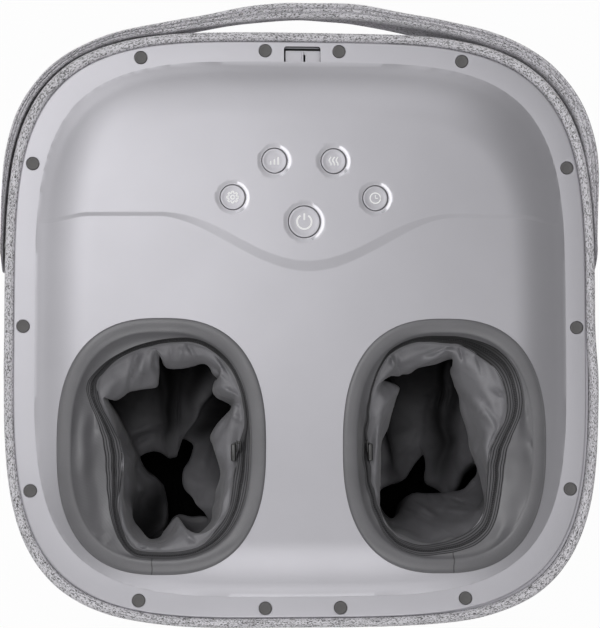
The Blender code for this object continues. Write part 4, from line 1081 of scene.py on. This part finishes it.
# How far the zip tape reaches inward, by turn round the mouth from the body's right
tapeReach = {
    "left": (
        (0, 0.0065), (20, 0.0030), (60, 0.0022), (120, 0.0022), (138, 0.0040), (148, 0.0095), (180, 0.0112),
        (210, 0.0112), (232, 0.0060), (250, 0.0035), (280, 0.0035), (300, 0.0075), (330, 0.0100),
        (350, 0.0080), (360, 0.0065),
    ),
    "right": (
        (0, 0.0098), (30, 0.0105), (55, 0.0098), (75, 0.0045), (100, 0.0028), (130, 0.0030), (165, 0.0045),
        (200, 0.0060), (235, 0.0060), (270, 0.0065), (300, 0.0095), (330, 0.0106), (360, 0.0098),
    ),
}
# Soft creases of the outer slopes: spot on the picture, then length, width, turn and height, in 0.1 mm
creases = {
    "left": (
        (84, 452, 160, 45, 88, 46), (92, 430, 120, 40, 75, -36), (75, 425, 140, 40, 80, -26),
        (93, 534, 60, 18, 20, 12), (98, 538, 50, 15, 30, -12), (104, 545, 60, 18, 35, 10),
        (88, 500, 200, 50, 95, 20),
    ),
    "right": (
        (520, 404, 220, 35, 283, 42), (512, 414, 160, 35, 280, -22), (531, 444, 35, 25, 300, -28),
        (529, 455, 60, 35, 280, 18), (519, 419, 40, 14, 20, -16), (515, 510, 130, 80, 100, 22),
        (500, 535, 120, 35, 60, -12),
    ),
}


def between(table, turn):
    for (first, low), (second, high) in zip(table, table[1:]):
        if first <= turn <= second:
            return mix(low, high, smooth((turn - first) / (second - first)))
    return table[-1][1]


def wholeTurn(values, turn):
    turn %= 360
    first = int(turn)
    return mix(values[first], values[(first + 1) % 360], turn - first)


def nearness(turn, spots):
    # 1 at a spot's turn, fading over its spread
    return max(exp(-((((turn - middle + 180) % 360 - 180) / spread) ** 2)) for middle, spread in spots)


def openingShare(x, y, inset):
    return shareAt(x, y, opening["halfX"] - inset, opening["halfY"] - inset, opening["roundness"])


def mouthTable(side):
    # Reach from the mouth's middle for each whole degree, kept inside the collar's band
    middleX = sides[side] * opening["mouthX"]
    corner, spots = mouthSpots[side]
    found = []
    for x, y in spots:
        place = seenAt(corner[0] + x / 3, corner[1] + y / 3, tape["z"])
        dx, dy = place.x - middleX, place.y - opening["y"]
        found.append((degrees(atan2(dy, dx)) % 360, hypot(dx, dy)))
    found.sort()
    found = [(found[-1][0] - 360, found[-1][1]), *found, (found[0][0] + 360, found[0][1])]
    reaches = []
    for turn in range(360):
        reach = between(found, turn)
        x = middleX + reach * cos(radians(turn)) - sides[side] * opening["x"]
        share = openingShare(x, reach * sin(radians(turn)), collar["band"] + tape["inBand"])
        reaches.append(reach / max(share, 1.0))
    return evened(reaches, 4)


def mouthHeights(side):
    # Close to the band the edge hangs just below it, and far from it at the tape's own height
    heights = []
    for turn, reach in enumerate(mouthReach[side]):
        x = sides[side] * opening["mouthX"] + reach * cos(radians(turn))
        y = opening["y"] + reach * sin(radians(turn))
        share = openingShare(x - sides[side] * opening["x"], y - opening["y"], collar["band"])
        run = max(1 - share, 0.0) * (opening["halfX"] - collar["band"])
        high = max(tape["z"], panelZ(x, y) - collar["hang"] - collar["fall"] * run)
        inward = (0 if side == "left" else 180, collar["flatSpread"])
        heights.append(mix(high, tape["z"], nearness(turn, (inward,))))
    return evened(heights, 8)


mouthReach = {side: mouthTable(side) for side in sides}
mouthHeight = {side: mouthHeights(side) for side in sides}


def mouthPoint(side, turn, inset, z):
    reach = wholeTurn(mouthReach[side], turn) - inset
    angle = radians(turn % 360)
    return Vector((sides[side] * opening["mouthX"] + reach * cos(angle),
                   opening["y"] + reach * sin(angle), z))


def tapePoint(side, turn, share):
    # The tape is as wide everywhere: where it reaches inward less, it hangs steeper
    turn %= 360
    reach = between(tapeReach[side], turn)
    drop = max(tape["width"] ** 2 - reach ** 2, 0.003 ** 2) ** 0.5
    angle = radians(turn)
    wave = noise.noise(Vector((cos(angle) * 5, sin(angle) * 5, 3 + sides[side])))
    inset = reach * share + tape["wave"] * wave * sin(pi * share)
    point = mouthPoint(side, turn, inset, wholeTurn(mouthHeight[side], turn))
    point.z -= drop * share - tape["arch"] * sin(pi * min(max(share, 0.0), 1.0)) * (1 + 0.5 * wave)
    return point


def readCreases(table, z):
    return [(seenAt(x, y, z), along / 10000, across / 10000, radians(turn), height / 10000)
            for x, y, along, across, turn, height in table]


def addCreases(point, bumps, lift, limit=inf):
    for centre, along, across, turn, height in bumps:
        dx, dy = point.x - centre.x, point.y - centre.y
        far = (dx * cos(turn) + dy * sin(turn)) / along
        near = (dy * cos(turn) - dx * sin(turn)) / across
        if far * far + near * near < limit:
            point.z += lift * height * exp(-far * far - near * near)


def makeCollar(side, sign):
    bumps = readCreases(creases[side], collar["creaseZ"])
    band, wall, drop = collar["band"], collar["wall"], collar["bandDrop"]

    def rim(inset, lift):
        outline = openingOutline(sign, inset, collar["points"])
        return [Vector((x, y, panelZ(x, y) + lift)) for x, y in outline]

    def low(outset, sunk):
        places = []
        for x, y, _ in rim(band, 0):
            turn = degrees(atan2(y - opening["y"], x - sign * opening["mouthX"]))
            places.append(mouthPoint(side, turn, -outset, wholeTurn(mouthHeight[side], turn) + 0.0012 - sunk))
        return places

    top, foot = rim(band, -drop), low(0.0, 0.0)
    rows = [rim(inset, lift) for inset, lift in (
        (0.0, -0.004), (0.0, -0.0004), (0.0005, 0.0006), (0.0016, 0.0011), (0.0034, 0.0012), (0.0060, 0.0007),
        (0.0086, 0.0), (0.0098, -0.0008)
    )]
    rows.append(top)
    for share in (0.02, 0.05, *(i / 18 for i in range(2, 18)), 0.97, 1.0):
        row = []
        for a, b in zip(top, foot):
            point = a.lerp(b, share)
            run = (Vector((a.x, a.y)) - Vector((b.x, b.y))).length
            hold = sin(pi * share)
            point.z -= min(run, 0.02) * 0.10 * hold
            loose = smooth((run - 0.004) / 0.012) * hold
            spot = Vector((point.x * 30, point.y * 16, sign))
            point.z += (loose * collar["slack"] * noise.noise(spot)
                        + loose * collar["fineSlack"] * noise.noise(spot * 3.1))
            addCreases(point, bumps, hold ** 0.5)
            row.append(point)
        rows.append(row)
    # The inner side comes back up under the slope
    inner, under = rim(band - wall, -drop - wall), low(wall, 0.0012)
    rows += [low(0.0004, 0.0009), under]
    for share in (0.33, 0.66, 1.0):
        sag = Vector((0, 0, 0.0022 * sin(pi * share)))
        rows.append([a.lerp(b, share) - sag for a, b in zip(under, inner)])
    rows = closedRows([*rows, rim(0.0025, -0.004), rows[0]])
    piece = clothGrid(f"collar_{side}", rows, lengthsAlong(rows[7]))
    cleanUp(piece, 180, 0.000002)
    dress(piece, collarCloth)
    return settle(piece, "housing", "collar_cloth", f"foot_collar_{side}")


def curveThrough(points, steps, closed):
    # A smooth line through points, with this many steps from each to the next
    count = len(points)
    line = []
    for i in range(count if closed else count - 1):
        if closed:
            a, b, c, d = (points[(i + shift) % count] for shift in (-1, 0, 1, 2))
        else:
            b, c = points[i], points[i + 1]
            a = points[i - 1] if i else b * 2 - c
            d = points[i + 2] if i + 2 < count else c * 2 - b
        for step in range(steps):
            t = step / steps
            line.append((b * 2 + (c - a) * t + (a * 2 - b * 5 + c * 4 - d) * t * t
                         + (b * 3 - a - c * 3 + d) * t * t * t) / 2)
    return line if closed else [*line, points[-1]]


def columnsOf(rows):
    return [list(row) for row in zip(*rows)]


liner = {"around": 12, "down": 8, "thickness": 0.0010, "sole": 0.0735, "wrinkle": 0.0020, "sway": 0.0040,
         "creaseZ": 0.175, "flatWidth": 0.30, "spread": (0, 0, 0, 0, 3, 10, 16, 12, 2, 8, 16, 24, 24),
         # Painted shade: how much of its colour the cloth shows at each level: where nothing hangs over it,
         # under a fold, and where it is painted lit
         "openShade": (1, 1, 0.95, 0.80, 0.66, 0.60, 0.52, 0.40, 0.24, 0.03, 0.01, 0.01, 0.01),
         "underShade": (1, 1, 1, 0.90, 0.06, 0.03, 0.09, 0.30, 0.38, 0.04, 0.01, 0.01, 0.01),
         "litShade": (1, 1, 1, 1, 0.50, 0.45, 0.80, 0.95, 0.70, 0.05, 0.01, 0.01, 0.01), "deepest": 0.015,
         "hidden": 0.008, "dimmed": 0.75, "dimFrom": 4, "dimTo": 7,
         # The rows where the wrinkles and the sway begin and end
         "fadeFrom": 3, "fadeRun": 6, "endFrom": 12, "endRun": 8, "swayFrom": 14, "swayRun": 10}
# Folds of the upper cloth: spot on the picture, then length, width, turn and height, in 0.1 mm
linerCreases = {
    "left": (
        (133, 373, 120, 13, 76, -52), (141, 372, 100, 22, 78, 39), (155, 364, 60, 14, 95, -39),
        (171, 359, 60, 13, 88, -30), (180, 357, 60, 18, 80, 26), (191, 353, 80, 13, 117, -35),
        (212, 372, 90, 13, 141, 48), (222, 366, 80, 13, 124, -39), (225, 391, 80, 16, 153, 43),
        (232, 402, 80, 15, 155, -43), (237, 419, 90, 22, 150, 30), (222, 428, 100, 18, 63, -35),
        (152, 538, 90, 18, 34, 52), (162, 540, 80, 15, 50, -48), (170, 528, 60, 30, 80, 43),
        (190, 537, 90, 20, 130, 48), (197, 545, 80, 15, 135, -39), (126, 470, 220, 30, 96, 43),
        (135, 485, 200, 30, 100, -48), (141, 430, 100, 30, 20, 43), (137, 440, 100, 25, 30, -48),
        (179, 415, 160, 9, 90, -26), (215, 450, 120, 22, 75, 30),
    ),
    "right": (
        (394, 366, 50, 13, 115, -57), (387, 364, 50, 16, 110, 43), (425, 362, 110, 18, 23, 43),
        (428, 354, 110, 15, 20, -48), (461, 347, 80, 18, 167, 35), (455, 356, 60, 14, 100, -35),
        (472, 365, 90, 14, 106, -43), (484, 370, 110, 18, 112, 39), (492, 394, 70, 15, 151, -43),
        (476, 411, 140, 18, 126, 48), (481, 407, 130, 13, 126, -35), (488, 452, 120, 18, 80, -35),
        (375, 435, 200, 24, 86, 35), (384, 440, 180, 18, 84, -26), (410, 538, 90, 18, 172, 48),
        (405, 530, 80, 15, 160, -39), (422, 517, 100, 20, 153, -43), (432, 512, 100, 20, 150, 30),
        (467, 512, 100, 18, 175, 35), (472, 504, 70, 13, 165, -35), (440, 400, 120, 22, 15, 48),
        (425, 388, 140, 20, 170, -43),
    ),
}


def hangingLine(start, edge, rim, over, away, pitAway):
    # From the tape over the edge seen first, back under it, to the edge over the pit and down to the sole
    down = Vector((0, 0, -1))
    if over > 0:
        low = edge + away * over + down * 0.020
        way = [start.lerp(edge, 0.55) - down * (0.30 * (start.z - edge.z)), edge,
               edge + away * over * 0.5 + down * 0.007, low, low.lerp(rim, 0.35) + down * 0.004]
    else:
        way = [start.lerp(edge, 0.55) - down * (0.15 * (start.z - edge.z)), edge,
               edge.lerp(rim, 0.20) + down * 0.004, edge.lerp(rim, 0.42) + down * 0.006,
               edge.lerp(rim, 0.62) + down * 0.006]
    foot = rim + pitAway * 0.012
    return [start, start.lerp(edge, 0.10) + down * 0.0015, *way, way[-1].lerp(rim, 0.55), rim,
            rim + pitAway * 0.008 + down * 0.010, rim + pitAway * 0.014 + down * 0.026,
            Vector((foot.x, foot.y, liner["sole"] + 0.003)),
            Vector((mix(foot.x, rim.x, 0.5), mix(foot.y, rim.y, 0.5), liner["sole"]))]


def linesAround(lines):
    return [curveThrough(level, liner["around"], True) for level in columnsOf(lines)]


def linesDown(levels):
    return columnsOf(curveThrough(line, liner["down"], False) for line in columnsOf(levels))


def makeLiner(side):
    pocket = pockets[side]

    def spot(x, y, z):
        return seenAt(pocket["corner"][0] + x / 6, pocket["corner"][1] + y / 6, z)

    lines, shades = [], []
    for turn, edgeX, edgeY, edgeZ, over, rimX, rimY, rimZ in pocket["folds"]:
        edgeZ, over, rimZ = edgeZ / 1000, over / 1000, rimZ / 1000
        edge, rim = spot(edgeX, edgeY, edgeZ), spot(rimX, rimY, rimZ)
        away = (edge - spot(*pocket["middle"], edgeZ)).normalized()
        pitAway = (rim - spot(*pocket["pit"], rimZ)).normalized()
        lines.append(hangingLine(tapePoint(side, turn, 1.0), edge, rim, over, away, pitAway))
        # Painted shade of this line's levels: lighter where the pocket is painted lit, darker where it is dim
        lit, dim = nearness(turn, pocket["lit"]), nearness(turn, pocket["dim"])
        tones = [mix(mix(bare, under, smooth(over / liner["hidden"])), shown, lit) for bare, under, shown in
                 zip(liner["openShade"], liner["underShade"], liner["litShade"])]
        for level in range(liner["dimFrom"], liner["dimTo"] + 1):
            tones[level] *= 1 - liner["dimmed"] * dim
        shades.append(tones)
    # The hidden cloth between an edge and the next one runs smoother than the edges
    levels = [evened(level, spread, Vector()) for level, spread in zip(linesAround(lines), liner["spread"])]
    rows, tones = linesDown(levels), linesDown(linesAround(shades))
    middle = sum(rows[-1], Vector()) / len(rows[-1])
    rows += [[point.lerp(middle, 0.5) for point in rows[-1]], [middle] * len(rows[-1])]
    folds = readCreases(linerCreases[side], liner["creaseZ"])
    for number, row in enumerate(rows):
        fade = smooth((number - liner["fadeFrom"]) / liner["fadeRun"])
        fade *= 1 - smooth((number - len(rows) + liner["endFrom"]) / liner["endRun"])
        sway = fade * smooth((number - liner["swayFrom"]) / liner["swayRun"]) * liner["sway"]
        for point in row:
            bend = Vector((point.x * 55, point.y * 55, point.z * 30))
            point.z += fade * liner["wrinkle"] * (noise.noise(bend) + 0.5 * noise.noise(bend * 2.3))
            point.x += sway * noise.noise(bend * 1.1 + Vector((7, 0, 0)))
            point.y += sway * noise.noise(bend * 1.1 + Vector((0, 9, 0)))
            addCreases(point, folds, smooth(number / 6), 9)
    rows = closedRows(rows)
    piece = clothGrid(f"pocket_liner_{side}", rows, lengthsAlong(rows[0]))
    # The painted shade goes into a point attribute that the liner's finish reads
    shade = piece.data.color_attributes.new("shade", "FLOAT_COLOR", "POINT")
    for number, colour in enumerate(shade.data):
        row, place = divmod(number, len(rows[0]))
        tone = tones[min(row, len(tones) - 1)][place % len(tones[0])]
        tone = min(max(tone, liner["deepest"]), 1.0)
        colour.color = (tone, tone, tone, 1)
    cleanUp(piece, 180, 0.000002, inside=True)
    thicken(piece, liner["thickness"])
    smoothShade(piece, 180)
    dress(piece, linerCloth)
    return settle(piece, "housing", "liner_cloth", f"liner_{side}")


zipper = {"columns": 420, "pitch": 0.0015, "coil": 0.0009, "wire": 0.00028, "turnSteps": 7,
          "flatWidth": 0.0150, "hinge": (0.0477, -0.0828, 0.2025), "slider": (0.0062, 0.0085, 0.0026)}


def makeTape(side):
    shares = (-0.10, 0.0, 0.10, 0.20, 0.30, 0.38, 0.43, 0.47, 0.50, 0.53, 0.57, 0.62, 0.70, 0.80, 0.90, 1.0,
              1.06)
    turns = [360 * i / zipper["columns"] for i in range(zipper["columns"])]
    rows = [[tapePoint(side, turn, share) for turn in turns] for share in shares]
    back = [[point - Vector((0, 0, tape["thickness"])) for point in row] for row in reversed(rows)]
    rows = closedRows([*rows, *back, rows[0]])
    wide = [share * tape["width"] for share in shares]
    wide += [2 * wide[-1] + 0.001 - place for place in reversed(wide)]
    along = lengthsAlong(rows[8])
    piece = clothGrid(f"zip_tape_{side}", rows, along, [*wide, wide[-1] + 0.001])
    cleanUp(piece, 180, 0.000002)
    dress(piece, zipTape)
    return piece, along[-1]


def makeCoil(side, length):
    steps = zipper["turnSteps"]
    count = int(length / zipper["pitch"]) * steps
    curve = bpy.data.curves.new("coil", "CURVE")
    curve.dimensions = "3D"
    curve.bevel_depth = zipper["wire"]
    curve.bevel_resolution = 0
    spline = curve.splines.new("POLY")
    spline.points.add(count - 1)
    for i, target in enumerate(spline.points):
        turn, spin = 360 * i / count, 2 * pi * i / steps
        middle = tapePoint(side, turn, 0.5) + Vector((0, 0, 0.0006))
        outward = (tapePoint(side, turn, 0.2) - tapePoint(side, turn, 0.8)).normalized()
        circle = outward * cos(spin) + Vector((0, 0, 0.7)) * sin(spin)
        target.co = (*(middle + circle * zipper["coil"]), 1)
    spline.use_cyclic_u = True
    coil = bpy.data.objects.new("coil", curve)
    bpy.context.scene.collection.objects.link(coil)
    onlySelect(coil)
    bpy.ops.object.convert(target="MESH")
    coil = named(f"zip_coil_{side}")
    smoothShade(coil, 180)
    dress(coil, coilPlastic)
    return coil


def boxPiece(name, size, place, bevel, steps=3):
    onlySelect()
    bpy.ops.mesh.primitive_cube_add(size=1)
    piece = named(name)
    editAll()
    bpy.ops.transform.resize(value=size)
    bpy.ops.mesh.bevel(offset=bevel, segments=steps, affect="EDGES")
    bpy.ops.transform.translate(value=place)
    bpy.ops.object.mode_set(mode="OBJECT")
    return piece


def makeSlider(side, sign):
    # Two plates round the coil, a pillar end and the bridge that the pull hangs on
    x, y, z = zipper["hinge"]
    wide, long, high = zipper["slider"]
    face = sign * x - sign * 0.0022
    slider = join(*(boxPiece(name, size, (face + sign * out, y + forward, z), bevel) for
                    name, size, out, forward, bevel in (
        (f"zip_slider_{side}", (high * 0.4, long, wide), 0, 0, 0.0007),
        ("back", (high * 0.35, long * 0.9, wide * 0.9), -high * 0.9, 0, 0.0006),
        ("pillar", (high * 0.8, long * 0.25, wide * 0.4), -high * 0.45, long * 0.3, 0.0005),
        ("bridge", (0.0012, long * 0.62, 0.0011), 0.0019, 0, 0.0004),
        ("bridge foot", (0.0020, 0.0012, 0.0011), 0.0010, long * 0.28, 0.0004),
        ("bridge heel", (0.0020, 0.0012, 0.0011), 0.0010, -long * 0.28, 0.0004),
    )))
    cleanUp(slider, 30, 0.0000001)
    dress(slider, darkSteel)
    return slider


def makeZip(side, sign):
    piece, length = makeTape(side)
    coil, slider = makeCoil(side, length), makeSlider(side, sign)
    settle(coil, "housing", "zip_tape")
    settle(slider, "housing", "steel")
    settle(piece, "housing", "zip_tape", f"zip_{side}")
    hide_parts(f"zip_{side}")
    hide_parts(f"zip_{side}")


def makePull(side):
    low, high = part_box(f"zip_pull_{side}")
    size = [b - a for a, b in zip(low, high)]
    x, y, z = [(a + b) / 2 for a, b in zip(low, high)]
    y -= body["behind"]
    pull = boxPiece(f"zip_tab_{side}", size, (x, y, z), min(size) * 0.3)
    cut(pull, boxPiece("hole", (size[0] * 3, size[1] * 0.45, size[2] * 0.34), (x, y - size[1] * 0.16, z),
                       size[2] * 0.12))
    cleanUp(pull, 30, 0.0000001)
    dress(pull, darkSteel)
    return settle(pull, f"zip_pull_{side}", "steel", f"zip_pull_{side}")


for side, sign in sides.items():
    makeCollar(side, sign)
    makeZip(side, sign)
    makePull(side)
    makeLiner(side)
print("collars, zips and liners made")


# Floor and light

light = {"sky": 0.20, "floorGlow": 0.97}
lamps = {  # Place, size, and how bright the lamp's face looks
    "key": ((-0.775, 0.39, 2.05), (1.85, 1.12), 1.45),
    "key side": ((0.93, -0.05, 2.05), (1.36, 1.0), 0.50),
    "front": ((0.03, -0.97, 1.31), (0.9, 0.88), 1.30),
    "back": ((-0.1, 1.25, 1.31), (1.6, 1.05), 0.72),
    "back left": ((-1.25, 1.50, 2.05), (0.90, 0.80), 1.35),
    "front low": ((0.03, -1.20, 0.95), (1.1, 0.4), 0.42),
    "left": ((-1.6, 0.1, 1.1), (1.2, 1.3), 0.42),
}


def addLamp(name, place, size, glow):
    data = bpy.data.lights.new(name, "AREA")
    data.shape = "RECTANGLE"
    data.size, data.size_y = size
    data.energy = glow * pi * size[0] * size[1]
    lamp = bpy.data.objects.new(name, data)
    lamp.location = place
    target = (place[0], place[1], 0) if name.startswith("key") else (0, 0, body["rim"])
    lamp.rotation_euler = (Vector(target) - lamp.location).to_track_quat("-Z", "Y").to_euler()
    bpy.context.scene.collection.objects.link(lamp)


def clearedTree(owner):
    owner.use_nodes = True
    owner.node_tree.nodes.clear()
    return owner.node_tree


def seenBy(tree, first, *others):
    path = node(tree, "LightPath").outputs
    seen = path[f"Is {first} Ray"]
    for kind in others:
        seen = maths("MAXIMUM", seen, path[f"Is {kind} Ray"])
    return seen


def addFloor():
    onlySelect()
    bpy.ops.mesh.primitive_plane_add(size=12)
    floor = named("floor")
    made = bpy.data.materials.new("white floor")
    tree = clearedTree(made)
    seen = seenBy(tree, "Camera", "Transmission", "Glossy")
    matt = node(tree, "BsdfDiffuse", {"Color": (0.8, 0.8, 0.8, 1)}).outputs[0]
    glow = node(tree, "Emission", {"Color": (1, 1, 1, 1), "Strength": 1.0}).outputs[0]
    both = node(tree, "MixShader", {0: times(seen, light["floorGlow"]), 1: matt, 2: glow})
    node(tree, "OutputMaterial", {0: both.outputs[0]})
    dress(floor, made)


def addWorld():
    world = bpy.data.worlds.new("studio")
    tree = clearedTree(world)
    strength = ranged(seenBy(tree, "Camera", "Transmission"), 0.0, 1.0, light["sky"], 1.0)
    glow = node(tree, "Background", {"Color": (1, 1, 1, 1), "Strength": strength})
    node(tree, "OutputWorld", {0: glow.outputs[0]})
    bpy.context.scene.world = world


for name, lamp in lamps.items():
    addLamp(name + " light", *lamp)
addFloor()
addWorld()
bpy.context.scene.view_settings.view_transform = "Standard"
